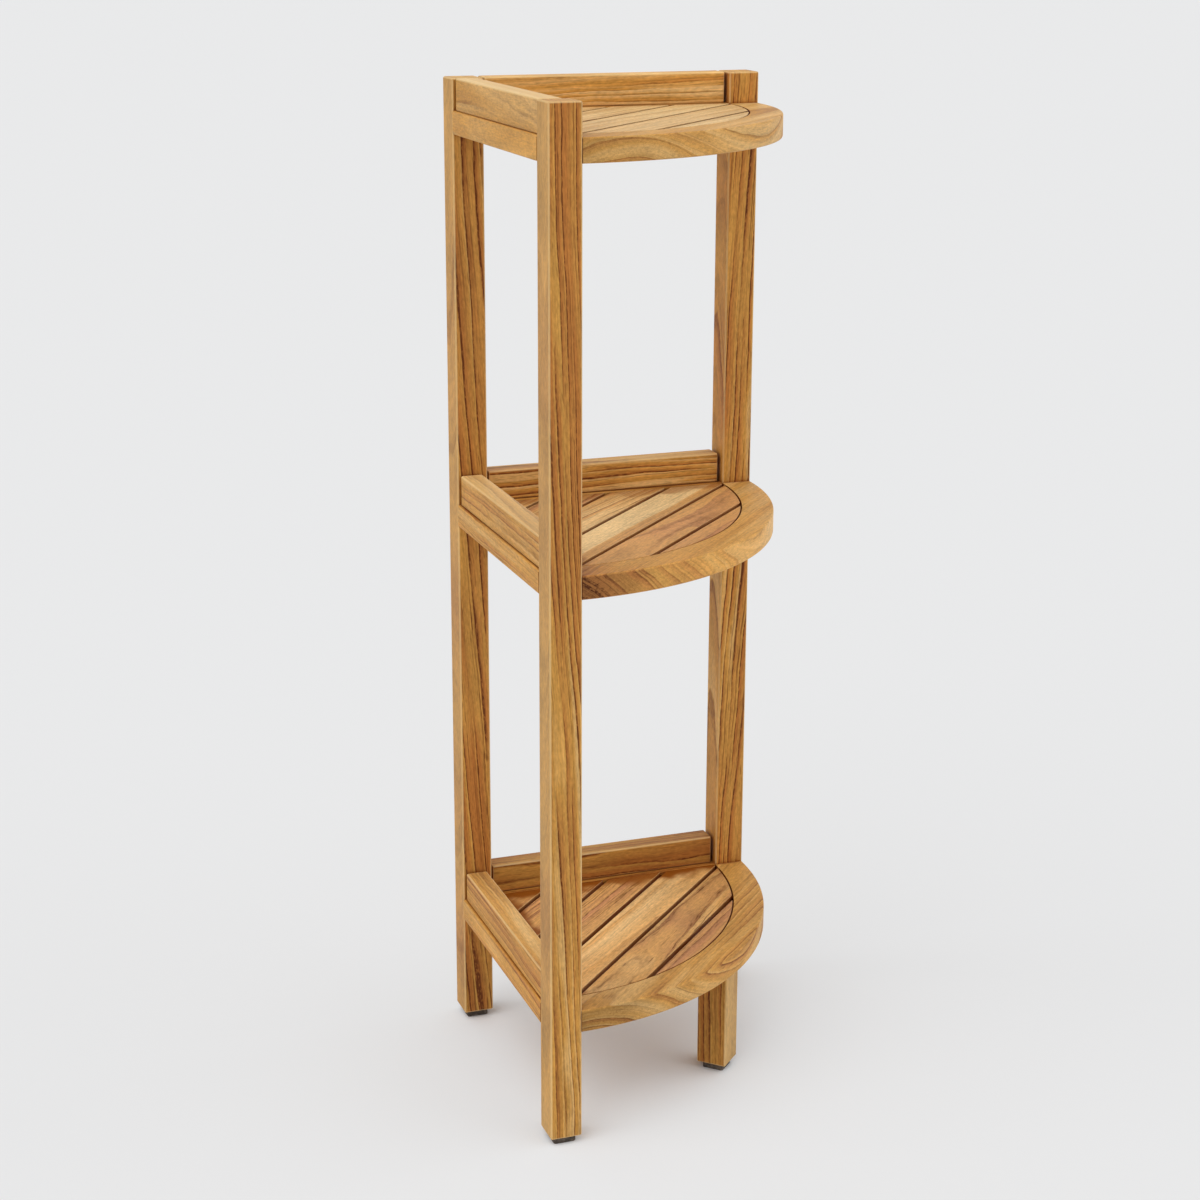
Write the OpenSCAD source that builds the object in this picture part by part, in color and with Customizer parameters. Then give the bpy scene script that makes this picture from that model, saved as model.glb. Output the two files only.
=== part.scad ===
// Three-tier corner shelf in oiled teak.
// Plan coordinates: x runs from the outer corner along the back wall, y along the side wall,
// both measured from the outer corner of the corner post. The part's own frame puts the
// origin on the floor under the middle of the plan, with the rounded front towards +X, -Y.

/* [Overall] */
// Width and depth of the plan, outer corner to the far faces of the posts
plan_w = 355; // [280:1:460]
// Height from the floor to the tops of the posts
total_h = 1100; // [900:1:1400]

/* [Posts] */
// Side of the square post stock, also the width of the bearers, the curved rim and the short leg
post_s = 35; // [30:1:44]
// Radius of the eased edges, except on the slats
edge_r = 2; // [1:0.25:3]
// Distance from the rim's outer face in to the short leg's outer face
leg_inset = 13; // [1:0.5:14]

/* [Foot pads] */
// Side of the square rubber pad
pad_s = 25; // [16:1:26]
// Thickness of the pad
pad_h = 8; // [3:0.5:10]
// Radius of the pad's upright corners
pad_r = 3; // [2:0.5:5]
// Diameter of the nail that holds a pad
nail_d = 2.4; // [2:0.2:4]
// Length of the nail above the pad's top
nail_l = 18; // [12:1:30]
// Depth that the nail's head end sits in the pad
nail_seat = 3; // [1.5:0.5:3]

/* [Tiers] */
// Height of the bottom shelf surface above the floor
bottom_z = 155; // [110:1:260]
// Height of the middle shelf surface above the floor
middle_z = 633; // [420:1:780]

/* [Shelf frame] */
// Height of the bearers and of the curved rim
frame_h = 25; // [24:0.5:32]
// Height of the gallery boards above the shelf surface
gallery_h = 34; // [25:1:60]
// Thickness of the gallery boards
gallery_t = 25; // [16:1:28]
// Set-back of the gallery's outer face from the bearer's outer face
gallery_set = 3; // [2:0.5:6]
// Open gap between a gallery's end and the post
gallery_gap = 3; // [1:0.5:8]

/* [Slats] */
// Thickness of the slats
slat_t = 14; // [12:0.5:14]
// Gap between neighbouring slats
slat_gap = 5.5; // [3:0.5:9]
// Radius of the eased long edges of the slats
slat_edge_r = 1; // [0.5:0.25:3]
// Depth of the outermost slat at its middle
outer_slat_w = 23; // [16:1:34]
// Seam between the slats and the inner face of the curved rim
rim_seam = 1.8; // [1:0.1:3]
// Seam between the slats and the straight bearers
bearer_seam = 0.4; // [0.2:0.1:1]

/* [Joinery] */
// Thickness of the tenons
tenon_t = 12; // [8:1:14]
// Shoulder above and below the tenons
tenon_shoulder = 4; // [3:0.5:6]
// Clearance all round a tenon in its mortise
tenon_fit = 0.2; // [0.1:0.05:0.4]
// Thickness of the tongues on the slat ends
tongue_t = 5; // [4:0.5:6]
// Reach of a tongue into the groove
tongue_l = 5; // [3:0.5:6]
// Clearance of a tongue in its groove
tongue_fit = 0.3; // [0.2:0.05:0.5]
// Width of the batten under the slats
batten_w = 30; // [22:1:40]
// Thickness of the batten
batten_t = 10; // [8:0.5:10]
// Free space between the batten's outer end and the curved rim
batten_gap = 5; // [3:0.5:8]
// Diameter of the dowels in the short leg
dowel_d = 10; // [8:0.5:12]
// Length of the dowels
dowel_l = 32; // [24:1:36]
// Distance between the two dowels' centres
dowel_pitch = 16; // [14:0.5:18]
// Distance from the short leg's outer face in to the dowels' centres
dowel_inset = 10; // [8:0.5:12]

/* [Screws] */
// Shank diameter of the gallery screws
gallery_screw_d = 4; // [3:0.25:5]
// Length of the gallery screws from under the head
gallery_screw_l = 36; // [24:1:40]
// Depth of the counterbore in the underside of a bearer
counterbore_h = 8; // [5:0.5:10]
// Distance from a gallery's end to its outermost screw
screw_inset = 40; // [20:1:70]
// Shank diameter of the batten screws
batten_screw_d = 3.5; // [2.5:0.25:4]
// Length of the batten screws with their heads
batten_screw_l = 17; // [12:1:18]

/* [Hidden] */
$fn = 64;
// Overlap between shapes that are joined or cut
e = 0.01;
// Clearance of dowels, nails and screws in their holes
pin_fit = 0.1;
// Free depth past the end of a tenon, dowel, nail or screw
end_fit = 1;
// Head diameter and height as shares of a screw's shank diameter
head_d_per_shank = 2;
head_h_per_shank = 0.6;
// Least distance from a screw's axis to a slat's edge
screw_edge = 8;

top_z = total_h - gallery_h;
post_bottom = pad_h;
// Centre of the rim's arcs in plan, the inner corner of the frame, is at [post_s, post_s]
rim_out_r = plan_w - post_s;
rim_in_r = plan_w - 2 * post_s;
bearer_l = plan_w - 2 * post_s;
gallery_l = bearer_l - 2 * gallery_gap;
gallery_mid = gallery_set + gallery_t / 2;
tenon_h = frame_h - 2 * tenon_shoulder;
tongue_z = (slat_t + tongue_t) / 2;
groove_d = tongue_l + tongue_fit;
// Five slats share the depth of the field that the outermost one leaves
slat_count = 6;
slat_w = (rim_in_r - rim_seam - outer_slat_w - (slat_count - 1) * slat_gap) / (slat_count - 1);
slat_pitch = slat_w + slat_gap;
// Underside of the battens below the shelf surface
batten_bottom = slat_t + batten_t;
batten_start = batten_w / 2 + 2 * rim_seam;
batten_end = rim_in_r - batten_gap;
leg_top = bottom_z - frame_h;
gallery_screw_bite = gallery_screw_l - frame_h + counterbore_h;
// The batten screws' heads sit end_fit deep in the batten's underside
batten_head_h = batten_screw_d * head_h_per_shank;
batten_screw_bite = batten_screw_l + end_fit - batten_t;
// Distance from the rim's centre to the short leg's centre, along the plan's diagonal
leg_mid = sqrt(pow(rim_out_r, 2) - pow(post_s / 2, 2)) - leg_inset - post_s / 2;

// Places plan coordinates in the part's frame
module plan(z = 0) {
    translate([-plan_w / 2, plan_w / 2, z]) mirror([0, 1, 0]) children();
}

// Swaps the two walls, so that a back piece becomes a side piece
module swap() {
    mirror([1, -1, 0]) children();
}

// Puts x along the plan's diagonal, with x = 0 at the rim's centre
module diagonal() {
    translate([post_s, post_s, 0]) rotate([0, 0, 45]) children();
}

// Rectangle from the origin with its corners rounded, r = 0 for square
module rounded_rect(w, h, r) {
    union() {
        translate([r, 0]) square([w - 2 * r, h]);
        translate([0, r]) square([w, h - 2 * r]);
        for (x = [r, w - r], y = [r, h - r]) translate([x, y]) circle(r = r);
    }
}

// Extrudes a y, z outline along x
module along_x(l) {
    rotate([90, 0, 90]) linear_extrude(height = l) children();
}

// Bar from the origin with all twelve edges eased
module eased_bar(l, w, h, r) {
    intersection() {
        along_x(l) rounded_rect(w, h, r);
        linear_extrude(height = h) rounded_rect(l, w, r);
        translate([0, w, 0]) rotate([90, 0, 0]) linear_extrude(height = w) rounded_rect(l, h, r);
    }
}

// Tenon outline in a post's own plan, entering from the face x = post_s and mitred at its tip.
// grow is the clearance for the mortise, gap keeps two meeting tenons apart.
module tenon_outline(grow, gap) {
    lo = (post_s - tenon_t) / 2 - grow;
    hi = (post_s + tenon_t) / 2 + grow;
    polygon([[post_s + e, lo], [post_s + e, hi], [hi + gap, hi], [lo + gap, lo]]);
}

module tenon(grow = 0, gap = tenon_fit) {
    translate([0, 0, -frame_h + tenon_shoulder - grow])
        linear_extrude(height = tenon_h + 2 * grow) tenon_outline(grow, gap);
}

// The mortises of one tier: two mitred pockets that meet inside the post
module mortises() {
    tenon(tenon_fit, 0);
    swap() tenon(tenon_fit, 0);
}

// A full-height post, its outer corner at the origin and its two inner faces mortised
module post() {
    color("#b9803f") difference() {
        translate([0, 0, total_h]) rotate([0, 90, 0])
            eased_bar(total_h - post_bottom, post_s, post_s, edge_r);
        for (z = [bottom_z, middle_z, top_z]) translate([0, 0, z]) mortises();
        translate([post_s / 2, post_s / 2, post_bottom - e]) nail_hole();
    }
}

module corner_post() {
    plan() post();
}

module right_post() {
    plan() translate([plan_w, 0, 0]) mirror([1, 0, 0]) post();
}

module front_post() {
    plan() translate([0, plan_w, 0]) mirror([0, 1, 0]) post();
}

// Short leg, its top end cut square against the rim's underside
module short_leg() {
    color("#ad733a") plan() diagonal() difference() {
        translate([leg_mid - post_s / 2, -post_s / 2, 0]) intersection() {
            translate([0, 0, post_bottom + leg_top]) rotate([0, 90, 0])
                eased_bar(leg_top, post_s, post_s, edge_r);
            translate([-e, -e, 0]) cube([post_s + 2 * e, post_s + 2 * e, leg_top]);
        }
        translate([leg_mid, 0, 0]) dowel_holes();
        translate([leg_mid, 0, post_bottom - e]) nail_hole();
    }
}

// Rubber pad, its top at the end of the post
module foot_pad() {
    color("#3a3734") difference() {
        translate([-pad_s / 2, -pad_s / 2, 0]) linear_extrude(height = pad_h)
            rounded_rect(pad_s, pad_s, pad_r);
        translate([0, 0, pad_h - nail_seat]) cylinder(d = nail_d + 2 * pin_fit, h = nail_seat + e);
    }
}

module corner_foot() {
    plan() translate([post_s / 2, post_s / 2, 0]) foot_pad();
}

module right_foot() {
    plan() translate([plan_w - post_s / 2, post_s / 2, 0]) foot_pad();
}

module front_foot() {
    plan() translate([post_s / 2, plan_w - post_s / 2, 0]) foot_pad();
}

module leg_foot() {
    plan() diagonal() translate([leg_mid, 0, 0]) foot_pad();
}

module nail_hole() {
    cylinder(d = nail_d + 2 * pin_fit, h = nail_l + end_fit);
}

module nail() {
    translate([0, 0, pad_h - nail_seat]) {
        cylinder(d = nail_d, h = nail_seat + nail_l - nail_d);
        translate([0, 0, nail_seat + nail_l - nail_d]) cylinder(d1 = nail_d, d2 = nail_d / 3, h = nail_d);
    }
}

module foot_nails() {
    color("#9a9a98") plan() {
        translate([post_s / 2, post_s / 2, 0]) nail();
        translate([plan_w - post_s / 2, post_s / 2, 0]) nail();
        translate([post_s / 2, plan_w - post_s / 2, 0]) nail();
        diagonal() translate([leg_mid, 0, 0]) nail();
    }
}

// The dowels stand side by side under the rim, clear of its groove
module dowel_places() {
    for (side = [-1, 1])
        translate([post_s / 2 - dowel_inset, side * dowel_pitch / 2, leg_top - dowel_l / 2]) children();
}

module dowel_holes() {
    dowel_places() translate([0, 0, -end_fit / 2])
        cylinder(d = dowel_d + 2 * pin_fit, h = dowel_l + end_fit);
}

module leg_dowels() {
    color("#c79a5d") plan() diagonal() translate([leg_mid, 0, 0])
        dowel_places() cylinder(d = dowel_d, h = dowel_l);
}

// Section of a bearer: both outer edges and the lower inner edge eased, the upper inner edge
// square against the slats, and the slat groove in the inner face
module bearer_outline() {
    difference() {
        union() {
            rounded_rect(post_s, frame_h, edge_r);
            translate([post_s - edge_r, frame_h - edge_r]) square(edge_r);
        }
        translate([post_s - groove_d, frame_h - tongue_z - tongue_fit])
            square([groove_d + e, tongue_t + 2 * tongue_fit]);
    }
}

// Back bearer with its top at z = 0
module bearer() {
    color("#c08a4a") difference() {
        union() {
            translate([post_s, 0, -frame_h]) along_x(bearer_l) bearer_outline();
            tenon();
            translate([plan_w, 0, 0]) mirror([1, 0, 0]) tenon();
        }
        gallery_screw_places() {
            translate([0, 0, -frame_h - e])
                cylinder(d = gallery_screw_d * head_d_per_shank + 4 * pin_fit, h = counterbore_h + e);
            translate([0, 0, -frame_h]) cylinder(d = gallery_screw_d + 2 * pin_fit, h = frame_h + e);
        }
    }
}

module side_bearer(z) {
    plan(z) swap() bearer();
}

module back_bearer(z) {
    plan(z) bearer();
}

module gallery_screw_places() {
    first = post_s + gallery_gap + screw_inset;
    for (x = [first, plan_w / 2, plan_w - first]) translate([x, gallery_mid, 0]) children();
}

// Back gallery with its bottom at z = 0
module gallery() {
    color("#c68f4e") difference() {
        translate([post_s + gallery_gap, gallery_set, 0])
            eased_bar(gallery_l, gallery_t, gallery_h, edge_r);
        gallery_screw_places() translate([0, 0, -e])
            cylinder(d = gallery_screw_d + 2 * pin_fit, h = gallery_screw_bite + end_fit + e);
    }
}

module side_gallery(z) {
    plan(z) swap() gallery();
}

module back_gallery(z) {
    plan(z) gallery();
}

// Pan-head wood screw, the underside of its head at z = 0
module screw(d, l) {
    tip = 1.5 * d;
    cylinder(d = d, h = l - tip);
    translate([0, 0, l - tip]) cylinder(d1 = d, d2 = d / 4, h = tip);
    translate([0, 0, -d * head_h_per_shank])
        cylinder(d1 = 0.8 * d * head_d_per_shank, d2 = d * head_d_per_shank, h = d * head_h_per_shank);
}

module tier_gallery_screws() {
    gallery_screw_places() translate([0, 0, counterbore_h - frame_h])
        screw(gallery_screw_d, gallery_screw_l);
}

module gallery_screws() {
    color("#b9b9b5") for (z = [bottom_z, middle_z, top_z]) plan(z) {
        tier_gallery_screws();
        swap() tier_gallery_screws();
    }
}

// Section of the curved rim, x measured from the rim's centre
module rim_outline() {
    difference() {
        translate([rim_in_r, 0]) union() {
            rounded_rect(post_s, frame_h, edge_r);
            translate([0, frame_h - edge_r]) square(edge_r);
        }
        translate([rim_in_r - e, frame_h - tongue_z - tongue_fit])
            square([groove_d + e, tongue_t + 2 * tongue_fit]);
    }
}

// Curved rim with its top at z = 0: a quarter ring between the two posts, tenoned at both ends
module rim() {
    union() {
        translate([post_s, post_s, -frame_h]) rotate_extrude(angle = 90) rim_outline();
        translate([plan_w, 0, 0]) mirror([1, 0, 0]) swap() tenon();
        translate([0, plan_w, 0]) mirror([0, 1, 0]) tenon();
    }
}

module plain_rim(z) {
    color("#c69150") plan(z) rim();
}

// The bottom rim has the blind holes for the short leg's dowels
module bottom_rim() {
    color("#c69150") plan() difference() {
        translate([0, 0, bottom_z]) rim();
        diagonal() translate([leg_mid, 0, 0]) dowel_holes();
    }
}

// Inside of the frame, drawn in by a seam or, below zero, let into the grooves
module field(straight, round) {
    difference() {
        intersection() {
            translate([post_s + straight, post_s + straight]) square(plan_w);
            translate([post_s, post_s]) circle(r = rim_in_r - round, $fn = 180);
        }
        translate([plan_w - post_s - tenon_fit, 0]) square([post_s, post_s + tenon_fit]);
        translate([0, plan_w - post_s - tenon_fit]) square([post_s + tenon_fit, post_s]);
    }
}

// One slat's strip across the field, as a section with its upper edges eased
module strip(index, t) {
    w = index == slat_count - 1 ? outer_slat_w + rim_seam + groove_d : slat_w;
    diagonal() translate([index * slat_pitch, plan_w, -t]) rotate([90, 0, 0])
        linear_extrude(height = 2 * plan_w) union() {
            rounded_rect(w, t, slat_edge_r);
            square([w, t / 2]);
        }
}

// A slat with its top at z = 0: the board, and a tongue all round its ends
module slat(index) {
    difference() {
        union() {
            intersection() {
                strip(index, slat_t);
                translate([0, 0, -slat_t]) linear_extrude(height = slat_t) field(bearer_seam, rim_seam);
            }
            intersection() {
                strip(index, slat_t);
                translate([0, 0, -tongue_z]) linear_extrude(height = tongue_t) field(-tongue_l, -tongue_l);
            }
        }
        diagonal() batten_screw_place(index) translate([0, 0, -slat_t - e])
            cylinder(d = batten_screw_d + 2 * pin_fit, h = batten_screw_bite + end_fit + e);
    }
}

module shelf_slat(z, index, tint) {
    color(tint) plan(z) slat(index);
}

// Under the middle of each slat
module batten_screw_place(index) {
    last = rim_in_r - rim_seam - outer_slat_w / 2;
    middle = index * slat_pitch + slat_w / 2;
    first = batten_start + screw_edge;
    x = index == slat_count - 1 ? last : max(middle, first);
    translate([x, 0, 0]) children();
}

// Batten along the shelf's diagonal, pressed up against the slats
module batten(z) {
    color("#a9733b") plan(z) diagonal() difference() {
        translate([batten_start, -batten_w / 2, -batten_bottom])
            eased_bar(batten_end - batten_start, batten_w, batten_t, edge_r);
        for (index = [0 : slat_count - 1]) batten_screw_place(index)
            translate([0, 0, -batten_bottom]) batten_screw_hole();
    }
}

// Clearance hole with a recess for the head
module batten_screw_hole() {
    translate([0, 0, -e]) {
        cylinder(d = batten_screw_d + 2 * pin_fit, h = batten_t + 2 * e);
        cylinder(d = batten_screw_d * head_d_per_shank + 4 * pin_fit, h = end_fit + batten_head_h + e);
    }
}

module batten_screws() {
    color("#b9b9b5") for (z = [bottom_z, middle_z, top_z]) plan(z) diagonal()
        for (index = [0 : slat_count - 1]) batten_screw_place(index)
            translate([0, 0, end_fit + batten_head_h - batten_bottom])
                screw(batten_screw_d, batten_screw_l - batten_head_h);
}

corner_post();
front_post();
right_post();
short_leg();
corner_foot();
front_foot();
right_foot();
leg_foot();
side_bearer(top_z);  // top_side_bearer
back_bearer(top_z);  // top_back_bearer
side_gallery(top_z);  // top_side_gallery
back_gallery(top_z);  // top_back_gallery
plain_rim(top_z);  // top_rim
batten(top_z);  // top_batten
shelf_slat(top_z, 0, "#b98347");  // top_corner_slat
shelf_slat(top_z, 1, "#c5965a");  // top_slat_2
shelf_slat(top_z, 2, "#bb8a58");  // top_slat_3
shelf_slat(top_z, 3, "#c89d63");  // top_slat_4
shelf_slat(top_z, 4, "#b5804c");  // top_slat_5
shelf_slat(top_z, 5, "#c19059");  // top_outer_slat
side_bearer(middle_z);  // middle_side_bearer
back_bearer(middle_z);  // middle_back_bearer
side_gallery(middle_z);  // middle_side_gallery
back_gallery(middle_z);  // middle_back_gallery
plain_rim(middle_z);  // middle_rim
batten(middle_z);  // middle_batten
shelf_slat(middle_z, 0, "#c2934f");  // middle_corner_slat
shelf_slat(middle_z, 1, "#b07c45");  // middle_slat_2
shelf_slat(middle_z, 2, "#c9a066");  // middle_slat_3
shelf_slat(middle_z, 3, "#d3a970");  // middle_slat_4
shelf_slat(middle_z, 4, "#ba8759");  // middle_slat_5
shelf_slat(middle_z, 5, "#b98a60");  // middle_outer_slat
side_bearer(bottom_z);  // bottom_side_bearer
back_bearer(bottom_z);  // bottom_back_bearer
side_gallery(bottom_z);  // bottom_side_gallery
back_gallery(bottom_z);  // bottom_back_gallery
bottom_rim();
batten(bottom_z);  // bottom_batten
shelf_slat(bottom_z, 0, "#b27c44");  // bottom_corner_slat
shelf_slat(bottom_z, 1, "#c08d52");  // bottom_slat_2
shelf_slat(bottom_z, 2, "#a9713f");  // bottom_slat_3
shelf_slat(bottom_z, 3, "#c08a50");  // bottom_slat_4
shelf_slat(bottom_z, 4, "#b27a48");  // bottom_slat_5
shelf_slat(bottom_z, 5, "#b9834c");  // bottom_outer_slat
foot_nails();
leg_dowels();
gallery_screws();
batten_screws();
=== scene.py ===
"""Corner shelf in oiled teak: the looks of its pieces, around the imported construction.

Lengths are metres in the part's frame. The floor is z = 0, the wall corner stands at -X, +Y and
the rounded front looks towards +X, -Y.
"""
import logging
import math
import random
from collections.abc import Callable, Iterable
from dataclasses import dataclass, field
from enum import Enum

import bmesh
import bpy
from mathutils import Matrix, Vector


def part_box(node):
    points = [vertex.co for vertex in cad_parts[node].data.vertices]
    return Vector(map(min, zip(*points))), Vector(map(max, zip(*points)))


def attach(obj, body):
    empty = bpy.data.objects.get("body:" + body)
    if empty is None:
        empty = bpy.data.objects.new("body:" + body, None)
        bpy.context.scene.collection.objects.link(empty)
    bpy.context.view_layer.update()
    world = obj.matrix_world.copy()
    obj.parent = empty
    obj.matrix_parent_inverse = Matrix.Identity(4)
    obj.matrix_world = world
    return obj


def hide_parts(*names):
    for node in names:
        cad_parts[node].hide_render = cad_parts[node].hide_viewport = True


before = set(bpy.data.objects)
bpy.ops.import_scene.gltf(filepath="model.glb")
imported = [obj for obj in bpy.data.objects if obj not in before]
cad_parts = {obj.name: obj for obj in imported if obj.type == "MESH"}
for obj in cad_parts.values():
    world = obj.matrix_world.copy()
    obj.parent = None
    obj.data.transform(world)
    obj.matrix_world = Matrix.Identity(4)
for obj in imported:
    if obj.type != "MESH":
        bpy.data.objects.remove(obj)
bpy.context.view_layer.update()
LOG = logging.getLogger("corner_shelf")

MM = 0.001
UP = Vector((0.0, 0.0, 1.0))
# Facets of a rim's quarter arc, across an eased edge and round a bore
ARC_STEPS = 72
EASE_STEPS = 4
BORE_SIDES = 24
# Corners nearer than this are one, edges bent by less are shaded smooth, and how fully the large
# faces then decide the shading of their edges, in percent
DOUBLE = 0.002 * MM
CRISP = math.radians(32.0)
FLATNESS = 100
# How far a bore starts outside the wood
PAST = 1 * MM
# How far a mortise does, and how near to a plane a point counts as on it
SKIM = 0.01 * MM
# How near to an end of a piece an edge belongs to that end
NEAR = 0.1 * MM
# Cosines past which an edge is upright, or parallel to the slats
UPRIGHT = 0.9
PARALLEL = 0.9999
# Turn about the upright axis that sets a piece along the diagonal
DIAGONAL = -math.pi / 4
Colour = tuple[float, float, float]
Test = Callable[[Vector, Vector], bool]
# The direction of a wooden piece's grain, then that of its upper or outer face
Lie = tuple[Vector, Vector]


def everything(place: Vector, way: Vector) -> bool:
    """The test that picks every item."""
    return True


class Kind(Enum):
    """What a pick selects on a workpiece."""

    CORNERS = "VERT"
    EDGES = "EDGE"
    FACES = "FACE"


class Join(Enum):
    """How other pieces are combined with a workpiece."""

    ADD = "UNION"
    CUT = "DIFFERENCE"


@dataclass
class Workpiece:
    """A piece on the bench, shaped in edit mode by picking and then cutting.

    Attributes:
        obj: The Blender object that holds the mesh.
    """

    obj: bpy.types.Object

    @classmethod
    def _added(cls, name: str) -> "Workpiece":
        """The primitive that was just added, named and with its place in its mesh."""
        bpy.ops.object.transform_apply(location=True, rotation=True, scale=True)
        return cls(bpy.context.object).named(name)

    @classmethod
    def block(cls, name: str, centre: Vector, size: Vector, heading: float = 0.0) -> "Workpiece":
        """A square-edged block, turned about the upright axis by a heading in radians."""
        turn = (0.0, 0.0, heading)
        bpy.ops.mesh.primitive_cube_add(size=1.0, location=centre, rotation=turn, scale=size)
        return cls._added(name)

    @classmethod
    def sheet(cls, name: str, centre: Vector, width: float, height: float, heading: float) -> "Workpiece":
        """An upright rectangle.

        Args:
            name: Name of the piece.
            centre: Centre of the rectangle.
            width: Extent along the heading.
            height: Upright extent.
            heading: Direction of the width about the upright axis, in radians.

        Returns:
            The rectangle.
        """
        turn = (math.pi / 2, 0.0, heading)
        bpy.ops.mesh.primitive_plane_add(size=1.0, location=centre, rotation=turn)
        bpy.context.object.scale = (width, height, 1.0)
        return cls._added(name)

    @classmethod
    def disc(cls, name: str, centre: Vector, radius: float, sides: int) -> "Workpiece":
        """A flat level disc with this many corners."""
        shape = {"vertices": sides, "radius": radius, "fill_type": "NGON", "location": centre}
        bpy.ops.mesh.primitive_circle_add(**shape)
        return cls._added(name)

    @classmethod
    def rod(cls, name: str, foot: Vector, radius: float, length: float) -> "Workpiece":
        """An upright rod on the centre of its lower end."""
        shape = {"radius": radius, "depth": length, "location": foot + UP * (length / 2)}
        bpy.ops.mesh.primitive_cylinder_add(vertices=BORE_SIDES, **shape)
        return cls._added(name)

    def named(self, name: str) -> "Workpiece":
        """Names the piece and its mesh."""
        self.obj.name = self.obj.data.name = name
        return self

    def alone(self) -> None:
        """Selects this object and nothing else."""
        bpy.ops.object.select_all(action="DESELECT")
        self.obj.select_set(True)
        bpy.context.view_layer.objects.active = self.obj

    def edit(self, action: Callable[[], object]) -> "Workpiece":
        """Runs a step in edit mode.

        Args:
            action: The step.

        Returns:
            This workpiece.
        """
        self.alone()
        bpy.ops.object.mode_set(mode="EDIT")
        action()
        bpy.ops.object.mode_set(mode="OBJECT")
        return self

    def edit_whole(self, action: Callable[[], object]) -> "Workpiece":
        """Runs a step in edit mode with the whole piece selected."""
        return self.edit(lambda: bpy.ops.mesh.select_all(action="SELECT")).edit(action)

    def pick(self, kind: Kind, test: Test) -> "Workpiece":
        """Selects corners, edges or faces by their place and direction.

        Args:
            kind: What to select.
            test: Says whether an item is selected, from its middle and its normal, or for an
                edge its middle and its direction.

        Returns:
            This workpiece.
        """

        def select() -> None:
            """Selects what passes the test, and nothing else."""
            bpy.ops.mesh.select_mode(type=kind.value)
            bpy.ops.mesh.select_all(action="DESELECT")
            mesh = bmesh.from_edit_mesh(self.obj.data)
            items = {Kind.CORNERS: mesh.verts, Kind.EDGES: mesh.edges, Kind.FACES: mesh.faces}
            for item in items[kind]:
                if test(*self._where(item, kind)):
                    item.select_set(True)
            mesh.select_flush_mode()
            bmesh.update_edit_mesh(self.obj.data)

        return self.edit(select)

    @staticmethod
    def _where(item: object, kind: Kind) -> tuple[Vector, Vector]:
        """Where a corner, edge or face is, and where it points.

        Args:
            item: The element of the mesh.
            kind: Its kind.

        Returns:
            Its middle, and its normal or, for an edge, its direction.
        """
        if kind is Kind.CORNERS:
            return item.co.copy(), item.normal.copy()
        if kind is Kind.FACES:
            return item.calc_center_median(), item.normal.copy()
        a, b = (v.co for v in item.verts)
        return (a + b) / 2, (b - a).normalized()

    def ease(self, width: float, steps: int = EASE_STEPS, kind: Kind = Kind.EDGES) -> "Workpiece":
        """Rounds the picked edges or the picked corners of a flat outline.

        Args:
            width: Radius of the rounding.
            steps: Facets across it.
            kind: EDGES or CORNERS.

        Returns:
            This workpiece.
        """
        affect = "VERTICES" if kind is Kind.CORNERS else "EDGES"
        shape = {"offset": width, "segments": steps, "affect": affect, "clamp_overlap": True}
        return self.edit(lambda: bpy.ops.mesh.bevel(**shape))

    def ease_all(self, width: float) -> "Workpiece":
        """Rounds every edge alike."""
        return self.pick(Kind.EDGES, everything).ease(width)

    def score(self, place: Vector, normal: Vector) -> "Workpiece":
        """Cuts a line round the picked faces where a plane meets them."""
        return self.edit(lambda: bpy.ops.mesh.bisect(plane_co=place, plane_no=normal))

    def saw(self, place: Vector, normal: Vector) -> "Workpiece":
        """Saws off what lies on the normal's side of a plane, and closes the cut."""
        cut = {"plane_co": place, "plane_no": normal, "use_fill": True, "clear_outer": True}
        return self.edit_whole(lambda: bpy.ops.mesh.bisect(**cut))

    def drop_faces(self) -> "Workpiece":
        """Deletes the picked faces."""
        return self.edit(lambda: bpy.ops.mesh.delete(type="FACE"))

    def push(self, way: Vector) -> "Workpiece":
        """Extrudes the picked faces."""
        move = {"value": way}
        return self.edit(lambda: bpy.ops.mesh.extrude_region_move(TRANSFORM_OT_translate=move))

    def spin(self, centre: Vector, angle: float, steps: int) -> "Workpiece":
        """Sweeps the whole outline round the upright axis through a point."""
        sweep = {"steps": steps, "angle": angle, "center": centre, "axis": UP}
        return self.edit_whole(lambda: bpy.ops.mesh.spin(**sweep))

    def settle(self) -> "Workpiece":
        """Merges doubles and turns every face outwards."""
        self.edit_whole(lambda: bpy.ops.mesh.remove_doubles(threshold=DOUBLE))
        return self.edit_whole(lambda: bpy.ops.mesh.normals_make_consistent(inside=False))

    def combine(self, others: Iterable["Workpiece"], join: Join) -> "Workpiece":
        """Joins other pieces to this one or cuts them from it, and uses them up.

        Args:
            others: The pieces.
            join: How.

        Returns:
            This workpiece.
        """
        for other in others:
            self.alone()
            change = self.obj.modifiers.new("joinery", "BOOLEAN")
            change.object = other.obj
            change.operation = join.value
            change.solver = "EXACT"
            bpy.ops.object.modifier_apply(modifier=change.name)
            other.discard()
        return self

    def copy(self, name: str, move: Matrix) -> "Workpiece":
        """A copy with its own mesh, moved or mirrored, its faces outwards.

        Args:
            name: Name of the copy.
            move: Where it goes from here.

        Returns:
            The copy.
        """
        self.alone()
        bpy.ops.object.duplicate(linked=False)
        twin = Workpiece(bpy.context.object).named(name)
        twin.obj.data.transform(move)
        return twin.settle()

    def discard(self) -> None:
        """Takes the piece off the bench."""
        mesh = self.obj.data
        bpy.data.objects.remove(self.obj)
        bpy.data.meshes.remove(mesh)

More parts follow.
